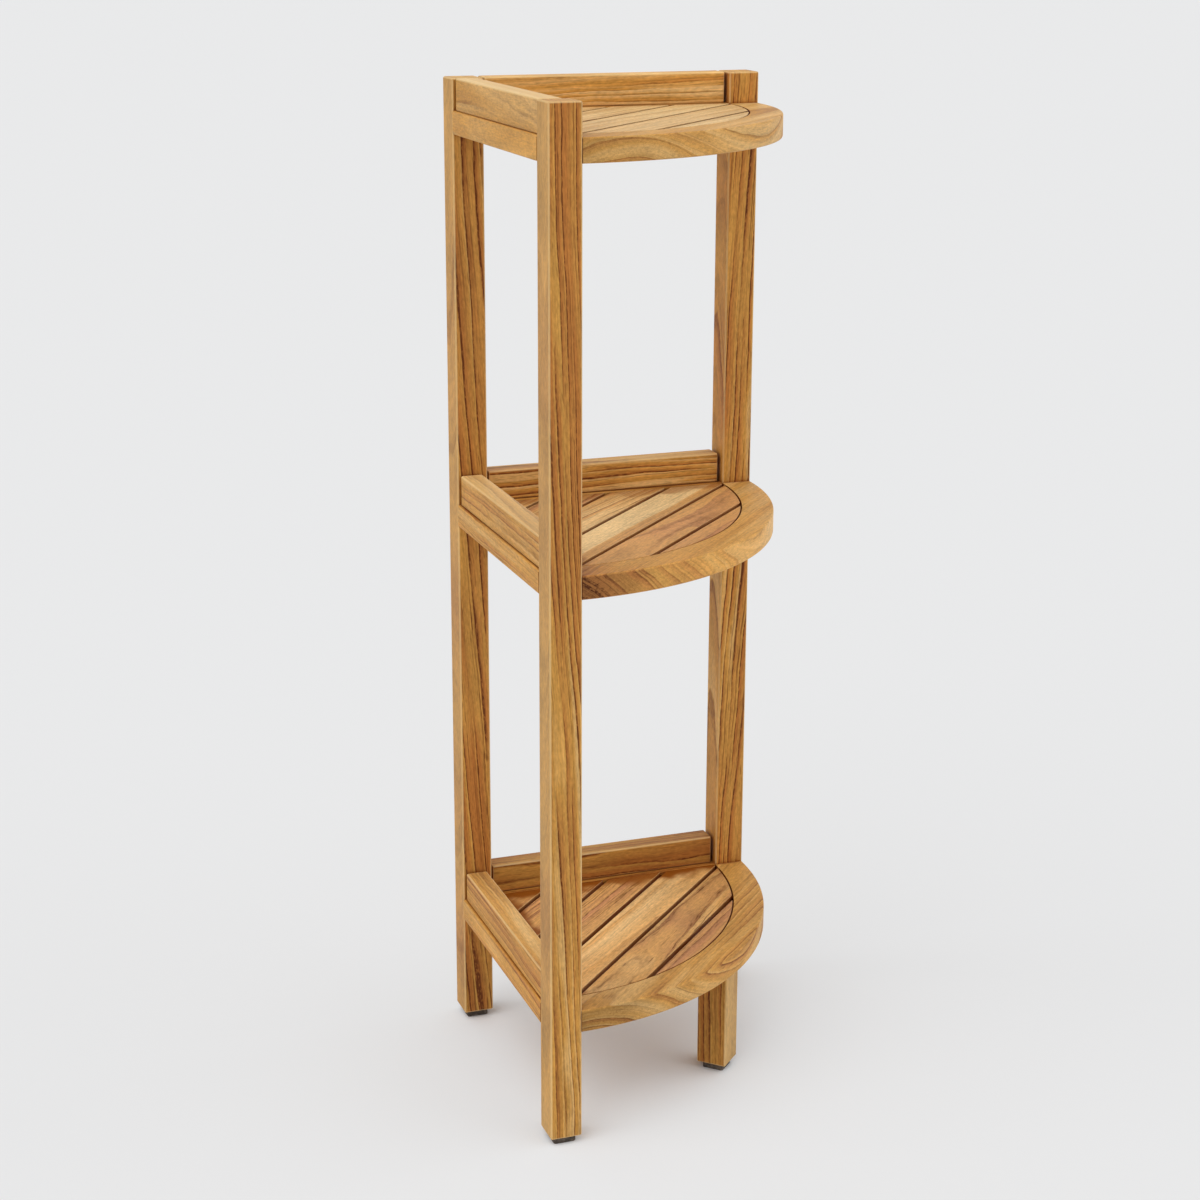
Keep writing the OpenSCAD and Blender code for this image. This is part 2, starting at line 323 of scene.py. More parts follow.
    def centre(self) -> Vector:
        """Middle of the piece's box."""
        rows = list(zip(*(vertex.co for vertex in self.obj.data.vertices)))
        return (Vector(map(min, rows)) + Vector(map(max, rows))) / 2

    def sand(self) -> None:
        """Shades the eased edges smooth and keeps the flat faces flat."""
        self.alone()
        bpy.ops.object.shade_smooth_by_angle(angle=CRISP)
        flat = self.obj.modifiers.new("flat", "WEIGHTED_NORMAL")
        flat.keep_sharp = True
        flat.weight = FLATNESS
        bpy.ops.object.modifier_apply(modifier=flat.name)


@dataclass
class Wire:
    """A number or colour on its way through a material, so that plain sums make nodes.

    Attributes:
        tree: The tree that the nodes go into.
        socket: The output that carries the value.
    """

    tree: "Tree"
    socket: bpy.types.NodeSocket

    def __add__(self, other: "Wire | float") -> "Wire":
        """This plus other."""
        return self.tree.maths("ADD", self, other)

    def __sub__(self, other: "Wire | float") -> "Wire":
        """This minus other."""
        return self.tree.maths("SUBTRACT", self, other)

    def __rsub__(self, other: float) -> "Wire":
        """Other minus this."""
        return self.tree.maths("SUBTRACT", other, self)

    def __mul__(self, other: "Wire | float") -> "Wire":
        """This times other."""
        return self.tree.maths("MULTIPLY", self, other)

    __radd__ = __add__
    __rmul__ = __mul__


class Tree:
    """The nodes of one material or of the world.

    Attributes:
        owner: The material or the world.
    """

    def __init__(self, owner: bpy.types.Material | bpy.types.World) -> None:
        """Starts with no nodes.

        Args:
            owner: The material or the world.
        """
        owner.use_nodes = True
        self.owner = owner
        self.nodes, self.links = owner.node_tree.nodes, owner.node_tree.links
        self.nodes.clear()

    def add(self, kind: str, settings: dict | None = None, inputs: dict | None = None) -> bpy.types.Node:
        """Adds a node.

        Args:
            kind: Its type, without the ShaderNode in front.
            settings: Its properties, set first.
            inputs: Values or wires of its sockets, by name, identifier or number.

        Returns:
            The node.
        """
        node = self.nodes.new("ShaderNode" + kind)
        for key, value in (settings or {}).items():
            setattr(node, key, value)
        for key, value in (inputs or {}).items():
            socket = self._socket(node, key)
            if isinstance(value, Wire):
                self.links.new(value.socket, socket)
            else:
                socket.default_value = value
        return node

    @staticmethod
    def _socket(node: bpy.types.Node, key: str | int) -> bpy.types.NodeSocket:
        """An input of a node by number, name or identifier."""
        if isinstance(key, int):
            return node.inputs[key]
        return next(s for s in node.inputs if key in (s.identifier, s.name))

    def wire(self, node: bpy.types.Node, output: str | int = 0) -> Wire:
        """One output of a node as a wire."""
        return Wire(self, node.outputs[output])

    def maths(self, operation: str, a: Wire | float, b: Wire | float = 0.0, clamp: bool = False) -> Wire:
        """The result of an operation on a and b, kept between 0 and 1 where clamp is set."""
        settings = {"operation": operation, "use_clamp": clamp}
        return self.wire(self.add("Math", settings, {0: a, 1: b}))

    def clamp(self, value: Wire) -> Wire:
        """A value kept between 0 and 1."""
        return self.maths("ADD", value, 0.0, clamp=True)

    def along(self, a: Wire, b: Wire) -> Wire:
        """How far two vectors agree, either way round."""
        node = self.add("VectorMath", {"operation": "DOT_PRODUCT"}, {0: a, 1: b})
        return self.maths("ABSOLUTE", self.wire(node, "Value"))

    def scale(self, vector: Wire, gain: Wire | float) -> Wire:
        """A place or a colour times a number."""
        node = self.add("VectorMath", {"operation": "SCALE"}, {"Vector": vector, "Scale": gain})
        return self.wire(node)

    def place(self) -> Wire:
        """Where a point lies in the object's own coordinates, in metres."""
        return self.wire(self.add("TexCoord"), "Object")

    def attribute(self, name: str, output: str = "Vector") -> Wire:
        """One of the piece's own attributes, as a vector or, from the output Fac, as a number."""
        return self.wire(self.add("Attribute", {"attribute_name": name}), output)

    def split(self, vector: Wire) -> tuple[Wire, Wire, Wire]:
        """The three parts of a vector."""
        node = self.add("SeparateXYZ", inputs={"Vector": vector})
        return tuple(self.wire(node, i) for i in range(3))

    def parts(self, name: str) -> tuple[Wire, Wire, Wire]:
        """The three parts of one of the piece's own attributes."""
        return self.split(self.attribute(name))

    def join(self, x: Wire | float, y: Wire | float, z: Wire | float) -> Wire:
        """A vector from its three parts."""
        return self.wire(self.add("CombineXYZ", inputs={0: x, 1: y, 2: z}))

    def stretch(self, place: Wire, rates: tuple[float, float, float]) -> Wire:
        """A place with each of its parts times its own rate."""
        return self.join(*(part * rate for part, rate in zip(self.split(place), rates)))

    def noise(self, at: Wire, detail: float = 2.0, rough: float = 0.5) -> Wire:
        """Noise from 0 to 1 with features about one unit wide, and so many finer layers in it."""
        inputs = {"Vector": at, "Scale": 1.0, "Detail": detail, "Roughness": rough}
        return self.wire(self.add("TexNoise", {"noise_dimensions": "3D"}, inputs), "Fac")

    def ramp(self, value: Wire, low: float, high: float) -> Wire:
        """Rises smoothly from 0 at low to 1 at high, or falls if high is the smaller."""
        inputs = {"Value": value, "From Min": low, "From Max": high}
        return self.wire(self.add("MapRange", {"interpolation_type": "SMOOTHSTEP", "clamp": True}, inputs))

    def mix(self, amount: Wire | float, a: Wire | Colour, b: Wire | Colour) -> Wire:
        """Mixes two colours.

        Args:
            amount: Share of b.
            a: First colour.
            b: Second colour.

        Returns:
            The colour.
        """
        first, second = (c if isinstance(c, Wire) else (*c, 1.0) for c in (a, b))
        inputs = {"Factor_Float": amount, "A_Color": first, "B_Color": second}
        node = self.add("Mix", {"data_type": "RGBA"}, inputs)
        return Wire(self, next(s for s in node.outputs if s.identifier == "Result_Color"))

    def bump(self, height: Wire, depth: float, strength: float) -> Wire:
        """The normal of a relief of this depth in metres, of which this share shows."""
        inputs = {"Height": height, "Distance": depth, "Strength": strength}
        return self.wire(self.add("Bump", inputs=inputs))

    def surface(self, inputs: dict) -> bpy.types.Material:
        """The finished material, a Principled surface with these values or wires in its sockets."""
        self.add("OutputMaterial", inputs={"Surface": self.wire(self.add("BsdfPrincipled", inputs=inputs))})
        return self.owner


@dataclass(frozen=True)
class Layer:
    """One layer of noise in the teak.

    Attributes:
        along: Changes per metre along the grain.
        across: Changes per metre across it, or from ring to ring.
        weight: Strength of the layer.
        apart: Keeps it from repeating a layer of like scale.
        detail: Finer noise in it.
        rough: Strength of that.
        limits: Noise where the layer starts and where it is full, or None for the plain noise.
    """

    along: float
    across: float
    weight: float = 1.0
    apart: float = 0.0
    detail: float = 1.0
    rough: float = 0.5
    limits: tuple[float, float] | None = None


# What every noise swings about
MEAN = 0.5
# How far the rings wander on their way up the trunk, in metres
SWAY = Layer(2.3, 9.0, 26 * MM)
WAVE = Layer(8.0, 30.0, 4.6 * MM, 9.0)
QUIVER = Layer(45.0, 90.0, 1.5 * MM, 3.0)
# What lightens and darkens the wood
THREAD = Layer(4.0, 620.0, 0.50, 3.0)
CLOUD = Layer(9.0, 45.0, 0.50, detail=2.0)
MOTTLE = Layer(160.0, 420.0, 0.65, detail=2.0)
FIBRE = Layer(45.0, 1300.0, 0.50)
PORE = Layer(110.0, 2300.0, 0.22, 4.0, 0.0, limits=(0.62, 0.76))
# Broad bands between gold and rose
BAND = Layer(1.2, 70.0, 3.0, 11.0)
# Where the veins lie, where they fade out, and what breaks them up
DRIFT = Layer(1.6, 60.0, 1.8, 2.0)
FADE = Layer(4.2, 5.37, 1.0, 5.0, 2.0, limits=(0.36, 0.60))
DASH = Layer(42.0, 480.0, 0.5, 8.0, 2.0)
BREAK = Layer(170.0, 520.0, 0.6, limits=(0.34, 0.56))
# Fine dark lines between the veins, and short flecks
HAIR = Layer(2.2, 420.0, 0.7, 7.0, 2.0, 0.6, limits=(0.56, 0.68))
FLECK = Layer(45.0, 480.0, 0.3, 7.0, 0.0, limits=(0.70, 0.80))
# Patches in the darkening of the slats along the bearers: their changes per metre along X, Y and Z, how
# far they move the darkening's limit against its reach, and the share of that reach where it is full
PATCHES = (28.0, 28.0, 9.0)
PATCH_DRIFT = 1.6
BEARER_DARK_FULL = 0.4
# Where these show nothing and where they show in full: the closing of a ring's dark part, its
# start, the dashes of veins and hairs, end grain, upper faces and the painted shade in the nooks
RING_END = (1.0, 0.94)
VEIN_EDGE = (0.98, 1.14)
VEIN_DASH = (0.30, 0.60)
HAIR_DASH = (0.35, 0.60)
END_FACE = (0.30, 0.90)
UPPER_FACE = (0.50, 0.95)
NOOK_SHADE = (0.85, 0.40)
# Mean share of late wood, and half the width and the strength of the change to sapwood
MEAN_LATE = 0.25
SAP_BLEND = 1.5 * MM
SAP_SHARE = 0.8
# What raises or lowers the surface, and what makes it rougher
FIBRE_RISE, THREAD_RISE, PORE_DEPTH, VEIN_DEPTH = 0.5, 0.3, 0.8, 0.2
FIBRE_ROUGH, VEIN_ROUGH, END_ROUGH = 0.20, 0.06, 0.15


@dataclass
class Trunk:
    """Where a point of the surface lay in its trunk, for a material.

    Attributes:
        tree: The material's tree.
        along: Place along the grain, in metres.
        across: Place across it.
        deep: Depth from the pith.
    """

    tree: Tree
    along: Wire
    across: Wire
    deep: Wire

    def _read(self, layer: Layer, at: Wire) -> Wire:
        """The layer's noise at a place, within its limits."""
        noise = self.tree.noise(at, layer.detail, layer.rough)
        return self.tree.ramp(noise, *layer.limits) if layer.limits else noise

    def solid(self, layer: Layer) -> Wire:
        """A layer that fills the solid wood."""
        across, deep = self.across * layer.across, self.deep * layer.across + layer.apart
        return self._read(layer, self.tree.join(self.along * layer.along, across, deep))

    def ringed(self, layer: Layer, radius: Wire) -> Wire:
        """A layer that follows the growth rings, by their radius or their number."""
        at = self.tree.join(self.along * layer.along, radius * layer.across, layer.apart)
        return self._read(layer, at)

    def growth(self) -> Wire:
        """Distance of a point from the pith, as the growth rings wander on their way up the trunk.

        Returns:
            The distance, in metres.
        """
        radius = self.tree.maths("SQRT", self.across * self.across + self.deep * self.deep)
        for layer in (SWAY, WAVE, QUIVER):
            radius = radius + (self.solid(layer) - MEAN) * layer.weight
        return radius


@dataclass(frozen=True)
class TeakFinish:
    """Oiled teak of one kind of piece, as solid wood that the surface cuts.

    Attributes:
        slot: The record's slot that it finishes.
        gold: Its yellow-brown ground.
        rose: Its reddish-brown ground.
        vein: Its dark veins.
        sap: Its pale outer wood, and the pale colour that the painted highlights and painted sheen mix in.
        veins: Strength of the dark veins between rings.
        hairs: Strength of the finer dark lines between them.
        bands: Strength of the broad bands between gold and rose.
        late: How much redder the wood is towards the end of a ring.
        golden: How much less red the faces are that look to the bark or the pith, as painted sheen.
        dull: How much darker those faces are.
        crevice_shade: Strength of the painted shade in seams and corners, which an occlusion test finds.
        nook: Reach of that painted shade from the neighbouring piece.
        crevice_shade_colour: Colour of that painted shade, made redder by the light thrown from side to
            side in a seam.
        inner: Place of the frame's inner corner, from which the darkening at a slat's ends reaches.
        bearer_dark: Reach of that darkening.
        bearer_dark_colour: Its colour.
        sheen: Roughness of the oiled surface.
        gloss: Strength of its reflections.
        relief: Depth of its grain.
        felt: Share of that relief that shows.
        rays: Rays that look for a seam's other side.
    """

    slot: str
    gold: Colour = (0.57, 0.284, 0.059)
    rose: Colour = (0.43, 0.158, 0.032)
    vein: Colour = (0.13, 0.034, 0.006)
    sap: Colour = (0.84, 0.61, 0.30)
    veins: float = 1.15
    hairs: float = 0.60
    bands: float = 0.6
    late: float = 1.3
    golden: float = 0.75
    dull: float = 0.09
    crevice_shade: float = 0.65
    nook: float = 7 * MM
    crevice_shade_colour: Colour = (0.175, 0.028, 0.001)
    inner: tuple[float, float] = (0.0, 0.0)
    bearer_dark: float = 0.0
    bearer_dark_colour: Colour = (0.25, 0.070, 0.005)
    sheen: float = 0.50
    gloss: float = 0.14
    relief: float = 0.12 * MM
    felt: float = 0.35
    rays: int = 8

    def material(self) -> bpy.types.Material:
        """Builds the finish.

        Returns:
            The material.
        """
        tree = Tree(bpy.data.materials.new(self.slot))
        trunk = Trunk(tree, *tree.parts("grain"))
        light, warmth, figure = tree.parts("tone")
        upper_sheen, ends, edge_highlight = tree.parts("faces")
        bearer_dark, crevice_shade_share, sap_edge = tree.parts("dirt")
        rate, broad, side_light = tree.parts("rings")
        radius = trunk.growth()
        marks, late = self.marks(trunk, radius, rate, broad)
        normal = tree.wire(tree.add("NewGeometry"), "Normal")
        flat = tree.along(normal, tree.attribute("bark"))
        figure = figure * (1.0 - flat)
        dark = tree.maths("MULTIPLY", marks, figure, clamp=True)

        # Ground from pale through gold to rose, then sapwood past its own radius
        band = trunk.ringed(BAND, radius) - MEAN
        # Painted sheen: the faces that look to the bark or the pith are made less red
        share = warmth * (1.0 - flat * self.golden) + band * (BAND.weight * self.bands)
        share = share + (late - MEAN_LATE) * figure * self.late
        ground = tree.mix(tree.clamp(share), self.gold, self.rose)
        ground = tree.mix(tree.clamp(share * -1.0), ground, self.sap)
        sapwood = tree.ramp(radius - sap_edge, -SAP_BLEND, SAP_BLEND)
        # Painted light: those faces are also mixed towards the pale colour
        ground = tree.mix(tree.clamp(sapwood * SAP_SHARE + flat * side_light), ground, self.sap)

        # Threads, clouds, mottle and fibres lighten and darken it
        thread, fibre, pore = trunk.ringed(THREAD, radius), trunk.solid(FIBRE), trunk.solid(PORE)
        shade = (thread - MEAN) * THREAD.weight + (fibre - MEAN) * FIBRE.weight
        for layer in (CLOUD, MOTTLE):
            shade = shade + (trunk.solid(layer) - MEAN) * layer.weight
        ground = tree.scale(ground, (shade + 1.0) * (1.0 - flat * self.dull) * light)
        colour = tree.scale(tree.mix(dark, ground, self.vein), 1.0 - pore * PORE.weight)

        # Painted highlights make the eased edges paler, the pieces' ends show darker end grain, and painted
        # shade darkens the seams and corners
        colour = tree.mix(tree.attribute("edge", "Fac") * edge_highlight, colour, self.sap)
        end = tree.ramp(tree.along(normal, tree.attribute("axis")), *END_FACE)
        colour = tree.scale(colour, 1.0 - end * ends)
        # Painted sheen: upper faces are mixed towards the pale colour, standing in for the light from above
        upward = tree.ramp(tree.split(normal)[2], *UPPER_FACE)
        colour = tree.mix(upward * upper_sheen, colour, self.sap)
        # Darker patches on the slats' upper faces along the bearers
        if self.bearer_dark:
            colour = tree.mix(self.bearer_darkening(tree) * upward * bearer_dark, colour, self.bearer_dark_colour)
        # Painted shade: an occlusion test darkens seams and corners towards a reddish brown
        opening = tree.add("AmbientOcclusion", {"samples": self.rays}, {"Distance": self.nook})
        nook = tree.ramp(tree.wire(opening, "AO"), *NOOK_SHADE)
        colour = tree.mix(nook * crevice_shade_share * self.crevice_shade, colour, self.crevice_shade_colour)

        height = fibre * FIBRE_RISE + thread * THREAD_RISE - pore * PORE_DEPTH - dark * VEIN_DEPTH
        rough = (fibre - MEAN) * FIBRE_ROUGH + dark * VEIN_ROUGH + end * END_ROUGH + self.sheen
        normal = tree.bump(height, self.relief, self.felt)
        inputs = {"Base Color": colour, "Roughness": rough, "Specular IOR Level": self.gloss}
        return tree.surface(inputs | {"Normal": normal})

    def bearer_darkening(self, tree: Tree) -> Wire:
        """Darker patches on the slats along the bearers.

        Args:
            tree: The material's tree.

        Returns:
            How dark the patches are.
        """
        place = tree.place()
        x, y = tree.split(place)[:2]
        off = tree.maths("MINIMUM", x - self.inner[0], self.inner[1] - y)
        off = off + (tree.noise(tree.stretch(place, PATCHES)) - MEAN) * (PATCH_DRIFT * self.bearer_dark)
        return tree.ramp(off, self.bearer_dark, BEARER_DARK_FULL * self.bearer_dark)

    def marks(self, trunk: Trunk, radius: Wire, rate: Wire, broad: Wire) -> tuple[Wire, Wire]:
        """Dark veins at the ends of the rings, finer hairs between them, and short flecks.

        Args:
            trunk: Where the point lay.
            radius: Distance from the pith.
            rate: Rings per metre.
            broad: Share of a ring that its dark part takes.

        Returns:
            How dark the marks are, from 0, and the share of reddish late wood.
        """
        tree = trunk.tree
        phase = radius * rate + trunk.ringed(DRIFT, radius) * DRIFT.weight
        ring = tree.maths("FLOOR", phase)
        within = phase - ring
        closing = tree.ramp(within, *RING_END) * trunk.ringed(FADE, ring)
        dashes = trunk.ringed(DASH, radius)
        solid = tree.ramp(dashes, *VEIN_DASH) * DASH.weight + trunk.solid(BREAK) * BREAK.weight
        vein = tree.ramp(within + broad, *VEIN_EDGE) * closing * solid
        unbroken = tree.ramp(dashes, *HAIR_DASH) * HAIR.weight + (1.0 - HAIR.weight)
        hair = trunk.ringed(HAIR, radius) * unbroken
        dark = vein * self.veins + hair * self.hairs + trunk.solid(FLECK) * FLECK.weight
        return dark, within * closing


@dataclass(frozen=True)
class PlainFinish:
    """Two colours that a noise mixes, with a fine noise that lightens, roughens and raises them.

    Attributes:
        slot: The record's slot that it finishes.
        colour: Its ground.
        other: Its second colour.
        grain: Changes of the fine noise per metre along X, Y and Z.
        light: Brightness where that noise is 0, and what it adds.
        rough: Roughness where it is 0, and what it adds.
        relief: Depth of its relief, or 0 for a smooth surface.
        felt: Share of that relief that shows.
        detail: Finer layers in the fine noise.
        patches: Changes per metre of the noise that mixes the colours, or 0 for the fine noise.
        limits: Where the second colour starts and where it is full.
        share: Its share there.
        metal: 1 for a metal.
    """

    slot: str
    colour: Colour
    other: Colour
    grain: tuple[float, float, float]
    light: tuple[float, float]
    rough: tuple[float, float]
    relief: float = 0.0
    felt: float = 0.4
    detail: float = 2.0
    patches: float = 0.0
    limits: tuple[float, float] | None = None
    share: float = 1.0
    metal: float = 0.0

    def material(self) -> bpy.types.Material:
        """Builds the finish.

        Returns:
            The material.
        """
        tree = Tree(bpy.data.materials.new(self.slot))
        place = tree.place()
        fine = tree.noise(tree.stretch(place, self.grain), self.detail)
        mixed = tree.noise(tree.scale(place, self.patches)) if self.patches else fine
        mixed = tree.ramp(mixed, *self.limits) if self.limits else mixed
        colour = tree.mix(mixed * self.share, self.colour, self.other)
        inputs = {
            "Base Color": tree.scale(colour, fine * self.light[1] + self.light[0]),
            "Roughness": fine * self.rough[1] + self.rough[0],
            "Metallic": self.metal,
        }
        if self.relief:
            inputs["Normal"] = tree.bump(fine, self.relief, self.felt)
        return tree.surface(inputs)


@dataclass(frozen=True)
class Sawn:
    """How a piece was sawn from its trunk, and its tone.

    Attributes:
        light: Lightness against the other pieces.
        rose: Reddish brown at 1, golden at 0, pale at -1.
        figure: Strength of its dark veins.
        turn: Direction of the pith about the grain, in degrees: 0 below the upper or outer face,
            90 to one side of it, which makes parallel veins on that face.
        pith: Distance from the piece's middle to the pith.
        sap: Radius where pale sapwood starts, past every piece's wood if left out.
        slope: Run of the grain towards the pith per metre of length.
        plain: How far the veins fade on the faces that look to the bark or the pith.
        side_light: How much paler those faces are: painted light on the lit faces of the posts and the leg.
        shift: Change of rose per metre of length.
        upper_sheen: How much paler its upper faces are: painted sheen of the light from above.
        ends: How much darker the grain is where it runs into the surface.
        edge_highlight: Strength of the painted highlights that make its eased edges paler.
        ring: Width of a growth ring.
        broad: Share of a ring that its dark part takes.
        quiet: How far the veins fade on its upper or outer face.
        fan: Change of the figure per metre of length.
        dark_end: How much browner and more figured the end is where the grain starts.
        bearer_dark: Strength of the darkening on its upper faces near the bearers.
        crevice_shade_share: Share of the finish's painted shade in its seams and corners.
    """

    light: float = 1.0
    rose: float = 0.3
    figure: float = 1.0
    turn: float = 30.0
    pith: float = 0.09
    sap: float = 10.0
    slope: float = 0.015
    plain: float = 0.0
    side_light: float = 0.0
    shift: float = 0.0
    upper_sheen: float = 0.0
    ends: float = 0.30
    edge_highlight: float = 0.45
    ring: float = 7.5 * MM
    broad: float = 0.27
    quiet: float = 0.0
    fan: float = 0.0
    dark_end: float = 0.0
    bearer_dark: float = 0.0
    crevice_shade_share: float = 1.0


@dataclass
class Shelf:
    """The whole shelf's plan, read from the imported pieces, with its sizes that no box shows.

    Attributes:
        ease: Radius of the eased edges.
        fit: Clearance of joints.
        tenon: Thickness of the tenons.
        shoulder: Wood above and below a tenon.
        root: How far a tenon's root runs into its bearer.
        waste: Length of a tenon's tip that its mitre saws off.
        tongue: Thickness of the tongues on the slats.
        reach: Reach of a tongue into the groove.
        slack: Clearance of a tongue in its groove.
        pin_fit: Clearance of screws, nails and dowels in their holes.
        end_fit: Free depth past their ends.
        corner: Where the wall corner meets the floor.
        post: Side of a post.
        width: Side of the plan.
        foot: Height of the posts' lower ends.
        height: Height of their upper ends.
        hub: Centre of the rims' arcs, which is the frame's inner corner.
        inner: Inner radius of the rims.
        diagonal: Level direction from the wall corner to the middle of the rim.
        chord: Level direction from the front post to the right post.
        swap: Mirror across the diagonal, which makes side pieces from back pieces.
    """

    ease: float = 2 * MM
    fit: float = 0.2 * MM
    tenon: float = 12 * MM
    shoulder: float = 4 * MM
    root: float = 1 * MM
    waste: float = 2 * MM
    tongue: float = 5 * MM
    reach: float = 5 * MM
    slack: float = 0.3 * MM
    pin_fit: float = 0.1 * MM
    end_fit: float = 1 * MM
    corner: Vector = field(init=False)
    post: float = field(init=False)
    width: float = field(init=False)
    foot: float = field(init=False)
    height: float = field(init=False)
    hub: Vector = field(init=False)
    inner: float = field(init=False)
    diagonal: Vector = field(init=False)
    chord: Vector = field(init=False)
    swap: Matrix = field(init=False)

    def __post_init__(self) -> None:
        """Reads the plan from the posts."""
        low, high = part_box("corner_post")
        self.corner = Vector((low.x, high.y, 0.0))
        self.post = high.x - low.x
        self.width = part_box("right_post")[1].x - low.x
        self.foot, self.height = low.z, high.z
        self.hub = self.point(self.post, self.post)
        self.inner = self.width - 2 * self.post
        self.diagonal = Vector((1.0, -1.0, 0.0)).normalized()
        self.chord = Vector((1.0, 1.0, 0.0)).normalized()
        shift = self.corner.x + self.corner.y
        self.swap = Matrix(((0, -1, 0, shift), (-1, 0, 0, shift), (0, 0, 1, 0), (0, 0, 0, 1)))

    def point(self, back: float, side: float, z: float = 0.0) -> Vector:
        """The point this far from the outer corner along the back wall and along the side wall."""
        return self.corner + Vector((back, -side, z))

    def turned(self, extent: float, width: float) -> float:
        """Length of an eased bar along the diagonal, from its extent along X and its width."""
        shortening = self.ease * (math.sqrt(2) - 1)
        return (extent + 2 * shortening) * math.sqrt(2) - width

    def tenon_block(self, frame_h: float) -> Workpiece:
        """The back bearer's tenon in the corner post, its root let a little into the bearer."""
        return self._mitred(frame_h, self.root, 0.0, self.fit)

    def mortise_block(self, frame_h: float) -> Workpiece:
        """The space of that tenon with its clearance, which reaches the mitre."""
        return self._mitred(frame_h, SKIM, self.fit, 0.0)

    def _mitred(self, frame_h: float, root: float, grow: float, gap: float) -> Workpiece:
        """A block in the corner post from the back bearer's side, its tip mitred.

        Args:
            frame_h: Height of the bearer, whose top is at z = 0.
            root: How far the block sticks out of the post.
            grow: Clearance all round.
            gap: Distance of the tip from the mitre.

        Returns:
            The block.
        """
        middle = self.post / 2
        tip = middle - self.tenon / 2 - grow - self.waste
        tall = frame_h - 2 * self.shoulder + 2 * grow
        size = Vector((self.post + root - tip, self.tenon + 2 * grow, tall))
        centre = self.point((tip + self.post + root) / 2, middle, -frame_h / 2)
        block = Workpiece.block("tenon", centre, size)
        return block.saw(self.point(middle + gap, middle), Vector((-1.0, -1.0, 0.0)))


class Finishes:
    """The materials of the shelf, each built once.

    Attributes:
        by_slot: The materials by the record's slots.
    """

    def __init__(self, shelf: Shelf) -> None:
        """Builds every finish.

        Args:
            shelf: The plan.
        """
        rim_gold, rim_rose = (0.59, 0.305, 0.075), (0.43, 0.170, 0.045)
        kinds = (
            TeakFinish("post_teak"),
            TeakFinish("bearer_teak", veins=0.7),
            TeakFinish("gallery_teak", veins=0.8),
            TeakFinish("rim_teak", rim_gold, rim_rose, veins=0.7, bands=0.28, crevice_shade=0.9),
            TeakFinish(
                "slat_teak", (0.62, 0.330, 0.105), (0.48, 0.220, 0.092), (0.12, 0.032, 0.005),
                veins=0.6, bands=0.3, crevice_shade=0.95, nook=9 * MM,
                inner=(shelf.hub.x, shelf.hub.y), bearer_dark=30 * MM,
            ),
            TeakFinish("batten_teak"),
            PlainFinish(
                "dowel_beech", (0.60, 0.36, 0.15), (0.36, 0.18, 0.07), grain=(900.0, 900.0, 60.0),
                light=(0.8, 0.4), rough=(0.50, 0.15), relief=0.1 * MM, limits=(0.52, 0.75), share=0.7,
            ),
            PlainFinish(
                "pad_rubber", (0.050, 0.036, 0.026), (0.17, 0.135, 0.105), grain=(900.0, 900.0, 900.0),
                light=(0.6, 0.8), rough=(0.66, 0.25), relief=0.2 * MM, detail=3.0, patches=160.0,
                limits=(0.42, 0.70), share=0.7,
            ),
            PlainFinish(
                "fastener_steel", (0.56, 0.56, 0.54), (0.64, 0.63, 0.58), grain=(700.0, 700.0, 700.0),
                light=(0.7, 0.5), rough=(0.26, 0.24), metal=1.0,
            ),
        )
        self.by_slot = {kind.slot: kind.material() for kind in kinds}

    def dress(self, obj: bpy.types.Object, slot: str) -> None:
        """Gives an object its only material, by the record's slot."""
        obj.data.materials.clear()
        obj.data.materials.append(self.by_slot[slot])


